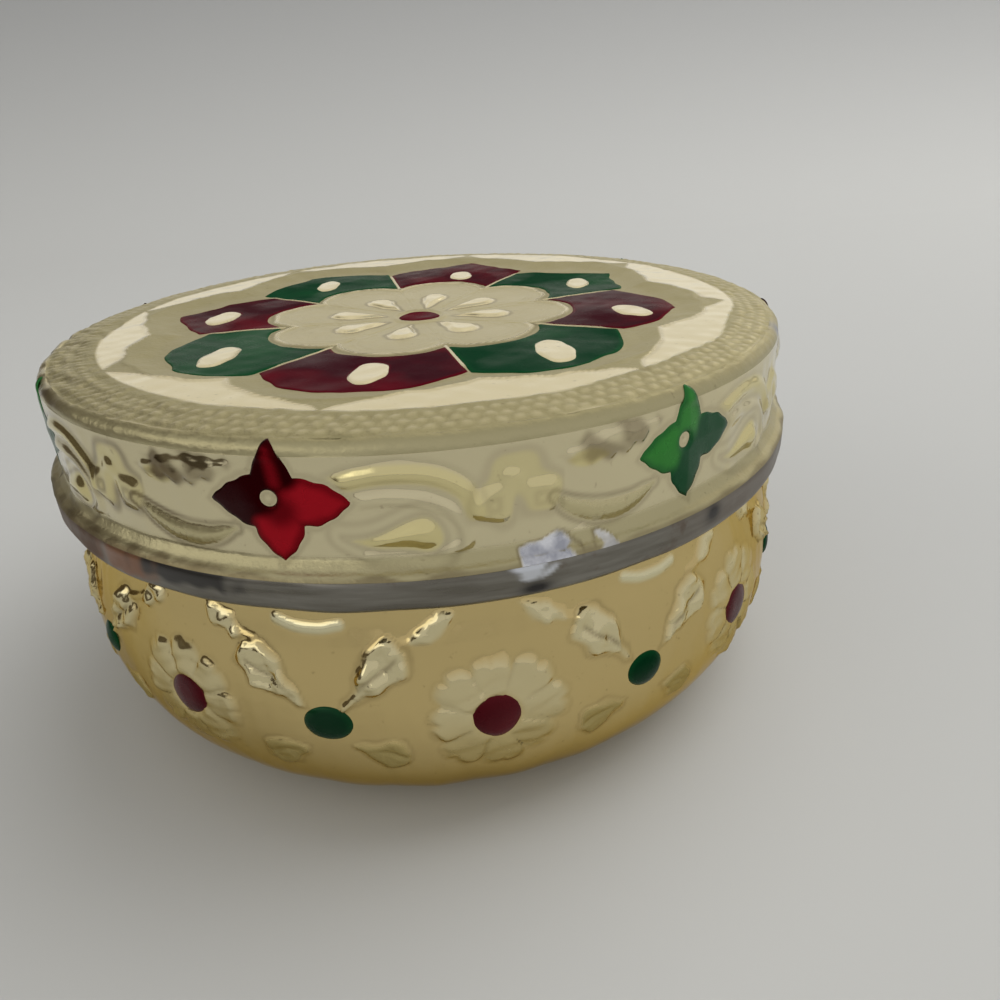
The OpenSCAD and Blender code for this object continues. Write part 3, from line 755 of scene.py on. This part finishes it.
def side_motifs(u, v):
    """Height, grain, painted shade and painted highlight of one flower's share of the strip. u runs to the
    right of the flower, v up from its middle. All forms are pressed softly. Most raised forms are painted
    paler as a highlight, and their outlines brown as painted shade."""
    h, grain_and_shade, shade_and_stain, tint = (np.zeros_like(u) for _ in range(4))

    def swell(d, height, edge, highlight=0.0):
        nonlocal h, tint
        h = np.maximum(h, height * smooth(0, -edge, d))
        tint = np.maximum(tint, highlight * smooth(0, -0.35, d))

    # A brown line along an outline: painted shade
    def outline(d, half, weight):
        nonlocal shade_and_stain
        shade_and_stain = np.maximum(shade_and_stain, weight * ridge(d, half))

    # A drop in a hollow, under a broad ribbon that winds down to the boss
    ax, ay = turned(u - 4.4, v + 2.6, -3)
    paisley = drop(ax, ay + 0.3 * np.sin(ax * 0.9), 7.0, 1.45)
    swell(paisley, 0.45, 1.4, 1.0)
    outline(paisley - 0.1, 0.4, 0.25)
    outline(paisley - 1.05, 0.45, 0.22)
    ribbon, _ = path(u, v, [(3.6, 1.0), (5.6, 1.7), (8.4, 2.0), (11, 1.6), (12.9, 0.4), (13.6, -1.2)])
    swell(ribbon - 0.9, 0.32, 0.9, 0.9)
    outline(ribbon - 0.95, 0.4, 0.16)
    bank, _ = path(u, v, [(3.2, -0.6), (6.4, 0.2), (9.6, 0.0), (12.0, -1.2), (12.9, -3.2), (10.5, -4.5),
                          (6.0, -4.3)])
    swell(bank - 0.9, 0.26, 0.9)

    # A four-lobed boss with a ringed dimple in each lower lobe
    lobes = ((np.abs(u - 16.5) - 1.7) ** 4 + (v + 0.9) ** 4) ** 0.25
    block = (np.abs(u - 16.4) ** 3 + np.abs(v - 1.0) ** 3) ** (1 / 3)
    boss = -np.log(np.exp(-1.6 * (lobes - 1.7)) + np.exp(-1.6 * (block - 2.0))) / 1.6
    boss = boss + 0.3 + 0.25 * crinkle(u, v, 3.9, 49)
    swell(boss, 0.4, 1.8, 0.7)
    h = h + 0.07 * ridge(lobes - 1.0, 0.6) - 0.1 * smooth(0.8, 0.1, lobes)
    h = h + (0.05 * crinkle(u, v, 2.6, 50) - 0.16 * v) * smooth(0.3, -1.0, boss)
    outline(boss - 0.1, 0.6, 0.22)
    outline(lobes - 0.4, 0.4, 0.2)

    # A hatched crescent that hangs under a crinkled leaf
    sag, along = path(u, v, [(-12.0, -1.0), (-10.6, -2.2), (-8.4, -3.0), (-5.8, -3.0), (-3.4, -2.2)])
    hatch = 0.5 + 0.5 * np.cos(along * 2 * np.pi * 17)
    crescent = sag - 0.95 * np.sin(np.pi * np.clip(along, 0.03, 0.97)) ** 0.5
    swell(crescent, 0.2, 0.9, 0.4)
    h = h + 0.05 * hatch * smooth(0, -0.4, crescent)
    grain_and_shade = np.maximum(grain_and_shade, 0.45 * smooth(0, -0.3, crescent))
    outline(crescent - 0.15, 0.35, 0.55)
    bx, by = turned(u + 7.0, v - 2.2, 6)
    frond = leaf(bx, by, 9.2, 2.8) + 0.16 * np.cos(bx * 4.2)
    swell(frond, 0.22, 0.9)
    h = h + (0.04 * crinkle(bx, by, 2.4, 45) - 0.14 * by) * smooth(0.1, -0.6, frond)
    # Brown blotches over the frond: a painted reflection of a darker room
    shade_and_stain = np.maximum(shade_and_stain, 0.7 * smooth(0.3, -0.5, frond) * smooth(-1.4, 0.4, crinkle(bx, by, 2.8, 46)))
    oval = leaf(u + 9.3, v - 1.3, 3.0, 1.3) - 0.2
    swell(oval, 0.2, 0.7, 1.0)

    flower = four_petals(u, v)
    clear = smooth(0.1, 1.0, flower)
    outline(flower - 0.2, 0.35, 0.3)
    return h * clear, grain_and_shade * clear, shade_and_stain, tint * clear


def four_petals(u, v):
    """Signed distance to the painted flower of the strip, four pointed petals with a bare eye."""
    petals = np.full(np.shape(u), 9.0)
    for along, across, length, half, blunt in ((u, v, 5.3, 1.85, 2.6), (-u, v, 4.9, 2.1, 1.8),
                                               (v, u, 4.8, 1.8, 1.3), (-v, u, 4.5, 1.95, 2.3)):
        t = along / length
        width = half * (0.7 + 0.3 * smooth(0, 0.3, t)) * (1 - (np.maximum(t - 0.2, 0) / 0.8) ** blunt)
        petals = np.where(along < -0.4, petals, np.minimum(petals, 0.8 * (np.abs(across) - width)))
    ragged = 0.07 * np.sin(3.4 * u + 1.1) * np.sin(2.9 * v + 0.4)
    return np.maximum(petals + ragged, 0.6 - np.hypot(u + 0.4, v - 0.35))


def side_line(out, end):
    """The lid's side strip from its edge over the bead up to the top, at a distance out from the tin."""
    return np.vstack([
        arc(BEAD_MID_R, BEAD_HIGH_Z, BEAD_R + out, SIDE_END, FLARE_TURN, 6),
        arc(skirt_r(FLARE_FOOT_Z) + out + FLARE_R, FLARE_Z, FLARE_R, 225, 180, 9),
        [[skirt_r(EDGE_Z) + out, EDGE_Z - 0.6]],
        *end,
    ])


SIDE_LINE = resampled(side_line(FOIL + HAIR, [[[skirt_r(EDGE_Z) + FOIL, EDGE_Z]]]), SIDE_STEP)
# The same, and on over the rounded edge onto the border, for the flowers whose tips lie there
FLOWER_LINE = resampled(side_line(FOIL + HAIR, [
    edge_line(FOIL + HAIR, 3)[::-1],
    [[FLAT_R + 1, border_z(FLAT_R + 1) + FOIL]],
]), SIDE_STEP)


def side_ripple(az, z):
    """Ripples of the strip, which die out under the edge of the top's foil."""
    ripple = 0.05 * round_crinkle(az, z, 14, 44, 12, 41) + 0.012 * round_crinkle(az, z, 60, 140, 4, 42)
    return ripple * smooth(EDGE_Z, EDGE_Z - 0.9, z)


def flower_ripple(az, z):
    """Ripples under a flower, on the strip and over the edge of the top's foil."""
    return side_ripple(az, z) + smooth(EDGE_Z - 0.6, EDGE_Z + 0.1, z) * (lip_ripple(az, z) + 0.05)


def seam(az, at, mean_r):
    """Distance along a strip from the middle of its overlap, and the height and the crease of the overlap."""
    lap = arc_from(az, at, mean_r)
    end = SEAM_LAP / 2
    rise = 0.2 * smooth(-2.6, -1.2, lap) * smooth(end + 0.12, end - 0.12, lap)
    return lap, rise, 0.9 * ridge(lap - end - 0.12, 0.3)


def torn_patch(az, z):
    """How bare the tin is at the torn patch over the bead, and the height and the crease of its foil: a
    silver flake, a lifted flap and a smaller flake."""
    u = arc_from(az, TORN_AT, SIDE_MEAN_R)
    torn = np.maximum(np.abs(u) - 2.1, np.abs(z - 28.0 - 0.12 * u) - 1.0) + 0.22 * crumple(u, z, 2.6, 43)
    chip = np.hypot((u - 4.3) * 0.9, z - 27.9 + 0.3 * u - 1.3) - 0.75 + 0.15 * crumple(u, z, 1.3, 44)
    fx, fy = turned(u - 2.8, z - 28.2, 38)
    flap = np.maximum(np.abs(fx) - 1.0, np.abs(fy) - 0.9)
    bare = np.maximum(smooth(0.12, -0.08, torn), 0.75 * smooth(0.12, -0.08, chip)) * smooth(-0.1, 0.1, flap)
    rise = bare * (0.05 + 0.07 * crumple(u, z, 2.2, 47)) * smooth(27.9, 28.3, z)
    rise = rise + smooth(0.1, -0.1, flap) * (0.14 + 0.08 * fy)
    return bare, rise, 0.7 * ridge(np.minimum(torn, chip) - 0.1, 0.2)


def side_relief(az, z):
    """Height and surface fields of the lid's side strip."""
    h, grain_and_shade, shade_and_stain, tint = (np.zeros_like(az) for _ in range(4))
    for k in range(FLOWERS):
        u = arc_from(az, FLOWER_FIRST + FLOWER_TURN * k, SIDE_MEAN_R)
        near = np.abs(u[0]) < MOTIF_REACH
        part = side_motifs(u[:, near], z[:, near] - FLOWER_Z)
        for whole, share in zip((h, grain_and_shade, shade_and_stain, tint), part):
            whole[:, near] = np.maximum(whole[:, near], share)
    # The creases are painted darker towards the left, a painted reflection of a darker room
    shade_and_stain = shade_and_stain * (1 + 1.5 * smooth(26, 14, apart(az, DARK_REFLECTION_AT)))
    lap, lap_rise, lap_crease = seam(az, SEAM_LID, SIDE_MEAN_R)
    clear = smooth(2.2, 3.2, np.abs(lap))
    h = (h * clear + lap_rise) * smooth(28.4, 29.6, z) * smooth(EDGE_Z + 0.1, EDGE_Z - 0.8, z)
    bare, torn_rise, torn_crease = torn_patch(az, z)
    h = h + side_ripple(az, z) + torn_rise
    shade_and_stain = np.maximum(np.maximum(shade_and_stain * clear, lap_crease) * (1 - bare), torn_crease)
    # Rust along the lower edge at the left, and a dark line of painted shade all round that edge
    rust_z, shaded_edge_z = (z + depth * round_crinkle(az, z, low, high, 6, seed)
                        for depth, low, high, seed in ((0.15, 30, 90, 48), (0.12, 20, 70, 33)))
    shade_and_stain = np.maximum(shade_and_stain, 0.85 * smooth(30, 8, apart(az, RUSTY_AT)) * smooth(28.4, 28.0, rust_z))
    shade_and_stain = np.maximum(shade_and_stain, 0.6 * smooth(28.15, 27.95, shaded_edge_z) * (1 - bare))
    grain_and_shade = np.maximum(grain_and_shade * clear, 0.75 * smooth(29.35, 28.9, z))
    return h, grain_and_shade * (1 - bare), np.clip(shade_and_stain, 0, 1), bare, tint * clear


def make_lid_side():
    under = side_line(HAIR, [[[skirt_r(EDGE_Z) + HAIR, EDGE_Z]]])
    strip_piece("lid_side_embossed", SIDE_LINE, under, SIDE_COLUMNS, side_relief, "lid",
                "lid_side_foil", LID_FOIL)


# Relief of the base's belly

def belly_ripple(az, z):
    return 0.045 * round_crinkle(az, z, 12, 40, 11, 61) + 0.01 * round_crinkle(az, z, 60, 150, 4, 62)


def daisy_relief(az, y, lean_of, petal_of):
    """Height, grain, painted shade and painted highlight of the daisies: blunt, faceted petals, each pressed
    at its own tilt, with painted shade along their outlines and splits.
    """
    k = (np.round((az - DAISY_AT) / DAISY_TURN) % DAISIES).astype(int)
    x = arc_from(az, DAISY_AT, BELLY_MEAN_R, DAISY_TURN)
    r = np.hypot(x, y)
    share = 360 / DAISY_PETALS
    angle = np.degrees(np.arctan2(y, x)) - 90 + 6 * lean_of[k, 0]
    number = (np.round(angle / share) % DAISY_PETALS).astype(int)
    rel = fold(angle, share)
    across = r * np.sin(np.radians(rel))
    longer, tilt, twist = np.moveaxis(petal_of[k, number], -1, 0)
    tip = DAISY_R + 0.35 + 0.35 * longer - 0.8 * (2 * np.abs(rel) / share) ** 4 - 0.3 * ridge(rel, 5)
    petal = r - tip + 0.1 * crumple(x + 11 * k, y, 1.5, 51)
    inside = smooth(0.1, -0.9, petal) * smooth(1.5, 2.3, r)
    split = ridge(np.abs(rel) - share / 2, 5) * smooth(1.8, 2.8, r)
    h = inside * (0.24 + 0.14 * tilt * (r - 3.6) / 2 + 0.09 * twist * across)
    h = h - inside * (0.1 * split + 0.03 * across ** 2 - 0.06 * crumple(x + 11 * k, y, 1.7, 52))
    shade_and_stain = 0.15 * ridge(petal - 0.1, 0.25) + 0.15 * split * inside
    # Lower petals grained darker as painted shade, upper petals paler as a painted highlight
    return h, 0.4 * inside * smooth(1.0, -3.0, y), shade_and_stain, 0.55 * inside * smooth(-4.5, 1.0, y)


def with_sprigs(az, y, lean_of, h, grain_and_shade, shade_and_stain, tint):
    """The belly's fields with leaf sprigs added: four ragged, crumpled blades that widen away from the dot,
    two buds on stems and a small arch. The upper blades, the buds and the arch are painted paler as a
    highlight, the lower blades grained darker as painted shade, and outlines and veins brown as painted
    shade."""
    sprig = (np.floor((az - DAISY_AT) / DAISY_TURN) % DAISIES).astype(int)
    sx = arc_from(az, DAISY_AT + DAISY_TURN / 2, BELLY_MEAN_R, DAISY_TURN)
    mx, hand = np.abs(sx), np.sign(sx)
    own = 13 * sprig + 5 * hand
    for lean, length, end, height, folds, down in BLADES:
        lx, ly = turned(mx, y + down, 90 - lean - 5 * lean_of[sprig, 1] * hand)
        blade = drop(lx - BLADE_ROOT, ly, length - BLADE_ROOT, end) + 0.24 * crumple(lx + own, ly, 2.3, 53)
        flat = smooth(0, -0.5, blade)
        vein = ly + 0.3 * np.sin(lx)
        veined = flat * smooth(8.6, 7.8, lx)
        rise = crumple(lx + own, ly, 2.6, 54) + 0.3 * crumple(lx + own, ly, 1.1, 57)
        rise = flat * (height + folds * rise) - 0.12 * ridge(vein, 0.4) * veined * smooth(3, 4.5, lx)
        h = np.maximum(h, rise)
        # Brown along each blade's outline: painted shade
        shade_and_stain = np.maximum(shade_and_stain, 0.3 * ridge(blade - 0.1, 0.25))
        # Upper blades paler as a painted highlight with veins of painted shade; lower blades grained darker
        # as painted shade
        if lean < 90:
            tint = np.maximum(tint, 0.7 * flat)
            shade_and_stain = np.maximum(shade_and_stain, 0.6 * ridge(vein, 0.3) * veined * smooth(3.5, 5, lx))
        else:
            grain_and_shade = np.maximum(grain_and_shade, 0.7 * flat)
    bx, by = turned(mx - 9.2 - 0.6 * lean_of[sprig, 2], y - 7.9, 30)
    bud = leaf(bx, by, 4.6, 2.0) + 0.2 * crumple(bx + own, by, 1.8, 55)
    flat = smooth(0, -0.5, bud)
    h = np.maximum(h, flat * (0.32 + 0.14 * crumple(bx + own, by, 2.0, 56)))
    # The bud is painted paler as a highlight
    tint = np.maximum(tint, 0.7 * flat)
    stem, _ = path(mx, y, [(5.8, 6.6), (7.0, 6.9), (8.2, 7.4)])
    h = np.maximum(h, 0.2 * smooth(0.5, 0, stem))
    arch, _ = path(sx + 2.0 * lean_of[sprig, 3], y, [(-2.6, 8.6), (-1.0, 8.1), (1.0, 8.0), (2.6, 8.3)])
    h = np.maximum(h, 0.2 * smooth(0.6, 0.1, arch))
    # The arch is painted paler as a highlight
    return h, grain_and_shade, shade_and_stain, np.maximum(tint, smooth(0.6, 0.2, arch))


def belly_relief(az, z):
    """Height and surface fields of the base's strip, with daisies and leaf sprigs by turns."""
    y = z - DAISY_Z
    rng = np.random.default_rng(12)
    lean_of = rng.uniform(-1, 1, (DAISIES, 4))
    petal_of = rng.uniform(-1, 1, (DAISIES, DAISY_PETALS, 3))
    h, grain_and_shade, shade_and_stain, tint = with_sprigs(az, y, lean_of, *daisy_relief(az, y, lean_of, petal_of))
    _, lap_rise, lap_crease = seam(az, SEAM_BASE, BELLY_MEAN_R)
    h = h * smooth(1.0, 3.5, z) * smooth(NECK_Z, NECK_Z - 0.8, z) + lap_rise + belly_ripple(az, z)
    shade_and_stain = np.maximum(shade_and_stain, lap_crease)
    return h, np.clip(grain_and_shade, 0, 1), np.clip(shade_and_stain, 0, 1), 0 * grain_and_shade, np.clip(tint, 0, 1)


BELLY_LINE = resampled(wall_line(FOIL, BARE_TURN - 90), BELLY_STEP)


def make_base_foil():
    under, _ = resampled(wall_line(HAIR, BARE_TURN - 90), UNDER_STEP)
    strip_piece("base_foil_embossed", BELLY_LINE, under, BELLY_COLUMNS, belly_relief, "base",
                "base_foil", BASE_FOIL)


# Enamel

def dome(height, edge=0.3):
    return lambda x, y, depth: height * (1 - np.exp(-depth / edge))


def on_line(line, ripple, az, z):
    """A place() for motifs at an angle and a height of a foil strip, wrapped over its outline and ripples."""
    points, normals = line
    run = run_along(points)
    middle, mean_r = (np.interp(z, points[:, 1], values) for values in (run, points[:, 0]))

    def place(x, y, h):
        r, height, out, up = (np.interp(middle + y, run, values) for values in (*points.T, *normals.T))
        a = np.radians(az) + x / mean_r
        h = h + ripple(np.degrees(a), height)
        r, height = r + h * out, height + h * up
        return np.c_[r * np.cos(a), r * np.sin(a), height]

    return place


def on_top(angle):
    """A place() for a petal at an angle of the rosette."""
    def place(x, y, h):
        px = x + PETAL_MID_R
        gx, gy = turned(px, y, -angle)
        return np.c_[gx, gy, FIELD_Z + dish(scallops(px, y, 0.0), np.hypot(px, y)) + top_ripple(gx, gy) + h]

    return place


def make_petals():
    """The rosette's petals, each with its own stray edges and bare spot."""
    jitter = np.random.default_rng(23).uniform(-1, 1, (PETALS, 3))
    for i, (sway, slant, shift) in enumerate(jitter):
        def shape(x, y):
            px = x + PETAL_MID_R
            stray = 0.15 * np.sin(px * 0.6 + 6 * sway) + 0.2 * np.sin(y * 0.75 + 6 * slant)
            stray = stray + 0.06 * crinkle(px + 9 * shift, y, 3.6, 24)
            return np.maximum(petal_cell(px, y, i, 0.18 + 0.12 * shift, stray), -spot(px, y, i))

        place = on_top(PETAL_AT + 360 / PETALS * i)
        # The petals take the rosette's darker enamel, a painted shade
        pad(f"petal_{i + 1}", shape, (9, 11), ENAMEL_STEP, place, dome(0.09, 0.12), "lid",
            f"petal_enamel_{i + 1}", SHADED_TOP_ENAMEL[i % 2])


def make_heart():
    """The dot in the middle of the rosette, well inside its scallops."""
    well_inside = -9.0

    def shape(x, y):
        return circle(x, y, HEART_DOT / 2 + 0.06 * np.sin(1.5 * x + y))

    def place(x, y, h):
        return np.c_[x, y, FIELD_Z + dish(well_inside, np.hypot(x, y)) + top_ripple(x, y) + h]

    # The dot takes the rosette's darker enamel, a painted shade
    pad("heart_dot", shape, (3, 3), DOT_STEP, place, dome(0.2), "lid", "heart_enamel",
        SHADED_TOP_ENAMEL[0])


def folded(x, y, depth):
    """A flower's height: high in the middle, each petal folded along its length."""
    along, across = np.maximum(np.abs(x), np.abs(y)), np.minimum(np.abs(x), np.abs(y))
    return (0.22 - 0.032 * along - 0.06 * across) * (1 - np.exp(-depth / 0.1))


def flower_painted_light(x, y, side):
    """A flower's painted light and shade: two petals painted lit, a painted highlight streaked along the
    upper one, and painted shade round the eye and at the rims."""
    bright = smooth(-0.7, 0.7, side * (y - x) + 0.3 * np.sin(1.9 * x + 1.3 * y))
    streak = 0.45 * ridge(x - 0.45 + 0.12 * y, 0.8) * smooth(0.6, 1.6, y) * smooth(4.4, 3.2, y)
    heart = smooth(0.4, 1.9, np.hypot(x - 0.3, y + 0.5))
    rims = 0.45 + 0.55 * smooth(0.05, 0.7, -four_petals(x, y))
    return np.maximum(bright * (0.35 + 0.65 * heart), streak) * rims


def make_flowers():
    """The side strip's flowers, green and red by turns, with their painted lit petals on opposite sides."""
    for i in range(FLOWERS):
        green = (i + 1) % 2
        side = 1 if green else -1
        place = on_line(FLOWER_LINE, flower_ripple, FLOWER_FIRST + FLOWER_TURN * i, FLOWER_Z)
        pad(f"flower_{i + 1}", four_petals, (5.6, 5.0), ENAMEL_STEP, place, folded, "lid",
            f"flower_enamel_{i + 1}", LIT_AND_SHADED_ENAMEL[green], lambda x, y: flower_painted_light(x, y, side))


def make_dots():
    """The belly's dots: red in the daisies, green in the sprigs between them."""
    for i in range(DAISIES):
        broad = SPRIG_DOT / 2 + 0.25 * math.sin(2.5 * i)

        def round_dot(x, y):
            return circle(x, y, DAISY_DOT / 2) + 0.1 * np.sin(1.1 * x + 0.8 * y + i)

        def shield(x, y):
            """A dot that is broad at the top and comes to a blunt point below."""
            return 1.5 * (np.hypot(x / (broad + 0.12 * y), y / 1.6) - 1) + 0.06 * np.sin(1.3 * x - y)

        kinds = ("daisy", round_dot, 0, 0.36), ("sprig", shield, DAISY_TURN / 2, 0.4)
        for green, (kind, shape, turn, height) in enumerate(kinds):
            place = on_line(BELLY_LINE, belly_ripple, DAISY_AT + DAISY_TURN * i + turn, DAISY_Z)
            # The dots take the darker enamel, a painted shade
            pad(f"{kind}_dot_{i + 1}", shape, (2.6, 2.6), DOT_STEP, place, dome(height, 0.5), "base",
                f"{kind}_enamel_{i + 1}", SHADED_ENAMEL[green])


# Tin and flock

def on_bead(r):
    """1 on the outer side of the bead, 0 on the lid's wall."""
    return smooth(36.9, 37.4, r)


def bead_knocks(r, z, az):
    low = smooth(29, 28, z) * on_bead(r)
    return (r + low * 0.04 * round_crinkle(az, z, 8, 40, 9, 71),
            z + low * 0.03 * round_crinkle(az, r, 6, 26, 9, 72))


def bead_wear(r, z, az):
    """Stains on the bead's left and right, rust and a black patch at its left, painted shade along its lower
    edge, two chips, and the bright spot under the torn foil."""
    ragged = 2 * round_crinkle(az, z, 12, 50, 5, 75)
    patchy = 1.5 * round_crinkle(az, z, 40, 120, 6, 76)
    stain = np.maximum(smooth(19, 14, apart(az + ragged, STAIN_AT)),
                       0.4 * smooth(30, 15, apart(az + ragged, DULL_AT)))
    rust = smooth(6.5, 2.5, apart(az + patchy, RUST_AT)) * smooth(25.2, 26.2, z + 0.2 * patchy)
    black = smooth(9, 5, apart(az + patchy, BLACK_AT)) * smooth(26.1, 26.7, z + 0.15 * patchy)
    # The bead's lower edge is darkened with the chips: painted shade
    chip = 0.7 * black + 0.3 * smooth(25.5, 25.1, z)
    for at, height, along, up in CHIPS:
        chip = chip + np.exp(-(apart(az, at) / along) ** 2 - ((z - height) / up) ** 2)
    near = np.hypot(apart(az, BRIGHT_AT) / 2.2, (z - 27.7) / 1.1) + 0.25 * crumple(az, 2 * z, 2.6, 74)
    bright = 0.9 * smooth(1.2, 0.7, near)
    marks = {"stain": stain, "rust": rust, "chip": np.clip(1.3 * chip, 0, 1), "bright": bright}
    return {key: on_bead(r) * mark for key, mark in marks.items()}


def make_lid_tin():
    outer = np.vstack([dish_line(0), edge_line(0), [[LID_OUT_R, BEAD_HIGH_Z]], bead_line(BEAD_R - TIN)])
    inner = np.vstack([dish_line(-TIN), edge_line(-TIN), [[LID_IN_R, BEAD_HIGH_Z]], bead_line(BEAD_R)])
    turned_piece("lid_tin", closed(outer, inner), LID_TIN_COLUMNS, "lid", "lid_shell", TIN_PLATE,
                 bead_knocks, bead_wear)


def make_base_tin():
    def unmoved(r, z, az):
        return r, z

    def rubbed(r, z, az):
        """Dull stains where the base stands and where the lid rubs its neck."""
        ring = np.maximum(ridge(z, 1.2), 0.5 * ridge(z - NECK_Z - 2.5, 2.0))
        return {"stain": 0.6 * ring * smooth(-0.4, 1.0, round_crinkle(az, r, 5, 30, 9, 73))}

    outer = np.vstack([floor_line(0), wall_line(0), rim_line(RIM_R)])
    inner = np.vstack([floor_line(TIN), wall_line(-TIN), rim_line(RIM_R - TIN)])
    turned_piece("base_tin", closed(inner, outer), BASE_TIN_COLUMNS, "base", "base_shell", TIN_PLATE,
                 unmoved, rubbed)


def make_flock():
    """The linings of the bowl and of the lid, at their depths under the tin's outer side."""
    back, front = TIN + HAIR, TIN + LINING
    top = RIM_Z - RIM_D - TIN
    disc_r = min(NECK_R - RIM_D - LID_PLAY - TIN, FLAT_R)

    def bowl(depth):
        return np.vstack([floor_line(depth), wall_line(-depth), [[NECK_R - depth, top]]])

    def disc(depth):
        return np.vstack([dish_line(-depth), [[disc_r, FIELD_TIN_Z - depth]]])

    def nap(r, z, az):
        return r + 0.05 * round_crinkle(az, z, 20, 90, 6, 81), z + 0.04 * round_crinkle(az, r, 20, 90, 6, 82)

    turned_piece("base_flock", closed(bowl(front), bowl(back)), FLOCK_COLUMNS, "base", "base_lining",
                 FLOCK, nap)
    turned_piece("lid_flock", closed(disc(back), disc(front)), FLOCK_COLUMNS, "lid", "lid_lining",
                 FLOCK, nap)


# Stage, light and camera

def make_stage():
    """A pale floor that sweeps up into a backdrop behind the box. In mirrors it glows above the floor, with
    one bright spark, and darkens to the left. Its sizes are in metres."""
    half_width, front_y, bend_y, bend_r, top_z = 1.8, -1.2, 0.32, 0.25, 1.4
    spark_at = (0.5, 0.57, 0.5)
    a = np.radians(np.linspace(-85, 0, 16))
    y = [front_y, bend_y, *(bend_y + bend_r * np.cos(a)), bend_y + bend_r]
    z = [0.0, 0.0, *(bend_r + bend_r * np.sin(a)), top_z]
    points = [(across, back, up) for back, up in zip(y, z) for across in (-half_width, half_width)]
    faces = [[2 * i, 2 * i + 1, 2 * i + 3, 2 * i + 2] for i in range(len(y) - 1)]
    mesh = bpy.data.meshes.new("sweep")
    mesh.from_pydata(points, [], faces)
    mesh.shade_smooth()
    m = new_material("sweep")
    across, _, up = m.axes()
    mirrored = m.light_path("Is Glossy Ray")
    spark = m.add("ShaderNodeVectorMath", {0: m.place, 1: spark_at}, operation="DISTANCE").outputs["Value"]
    glow = m.math("ADD", m.map(up, 0.03, 0.14, 0.0, 0.58), m.map(spark, 0.06, 0.1, 4.0, 0.0))
    glow = m.math("MULTIPLY", glow, m.map(across, -0.6, -0.3), mirrored)
    gloom = m.math("MULTIPLY", m.map(across, -0.3, -0.6), mirrored)
    # The backdrop is painted greyer as it rises: painted shade
    wall = m.mix(m.map(up, 0.0, 0.2), linear(195, 195, 192), linear(152, 152, 152))
    m.set(Base_Color=m.mix(gloom, wall, linear(98, 86, 70)), Roughness=0.8, Specular_IOR_Level=0.2,
          Emission_Color=(1.0, 0.95, 0.84, 1), Emission_Strength=glow)
    mesh.materials.append(m.owner)
    floor = new_object("sweep", mesh)


def make_light():
    """Pale light all round and a soft lamp. The camera sees the world pale, and other rays meet a dark corner
    low at the left, with a bright window above it."""
    pale, dark, bright = (0.62, 0.617, 0.61, 1), (0.1, 0.085, 0.065, 1), (1.45, 1.43, 1.36, 1)
    world = bpy.data.worlds.new("studio")
    bpy.context.scene.world = world
    m = Nodes(world, "Background", "Generated")
    x, y, z = m.axes()
    level = m.math("MAXIMUM", m.map(x, -0.55, -0.4), m.map(y, -0.55, -0.7), m.map(z, 0.2, 0.28))
    window = m.math("MINIMUM", m.map(x, -0.4, -0.5), m.map(y, 0.2, 0.1), m.map(z, 0.36, 0.42),
                    m.map(z, 0.64, 0.58))
    room = m.mix(window, m.mix(level, dark, pale), bright)
    m.set(Color=m.mix(m.light_path("Is Camera Ray"), room, pale))

    lamp_at, lit_point = Vector((0.5, 0.25, 0.8)), Vector((0, 0, 0.02))
    data = bpy.data.lights.new("key", "AREA")
    data.size = 1.0
    data.energy = 7.0
    lamp = new_object("key", data)
    lamp.location = lamp_at
    lamp.rotation_euler = (lit_point - lamp_at).to_track_quat("-Z", "Y").to_euler()
    lamp.visible_glossy = False


def make_camera():
    """The photograph's view, from a fit to the box's outlines. The focal length, and the place where the
    box's middle shows, are in pixels of the square frame."""
    frame_size, sensor = 1000, 36
    focal, shown_at = 744.023, np.array([428.691, 412.025])
    distance, rise, roll, middle_z = 86.26, math.radians(20.077), math.radians(-5.198), 26.0
    back = np.array([0, -math.cos(rise), math.sin(rise)])
    right = np.array([1.0, 0, 0])
    rows = np.stack([right, -np.cross(right, -back), -back])
    c, s = math.cos(roll), math.sin(roll)
    rows = np.array([[c, -s, 0], [s, c, 0], [0, 0, 1]]) @ rows
    # The view turns until the box's middle shows where it should
    d = np.r_[(shown_at - frame_size / 2) / focal, 1]
    d /= np.linalg.norm(d)
    v = np.cross([0, 0, 1], d)
    k = np.array([[0, -v[2], v[1]], [v[2], 0, -v[0]], [-v[1], v[0], 0]])
    rows = (np.eye(3) + k + k @ k / (1 + d[2])) @ rows
    axes = np.stack([rows[0], -rows[1], -rows[2]], 1)
    place = Vector((back * distance + [0, 0, middle_z]) * MM)
    data = bpy.data.cameras.new("camera")
    data.sensor_width = sensor
    data.lens = sensor * focal / frame_size
    data.clip_start = 0.005
    camera = new_object("camera", data)
    camera.matrix_world = Matrix.Translation(place) @ Matrix(axes.tolist()).to_4x4()
    bpy.context.scene.camera = camera


make_lid_top()
make_lid_side()
make_base_foil()
make_petals()
make_heart()
make_flowers()
make_dots()
make_lid_tin()
make_base_tin()
make_flock()
make_stage()
make_light()
make_camera()
bpy.context.scene.view_settings.view_transform = "Standard"
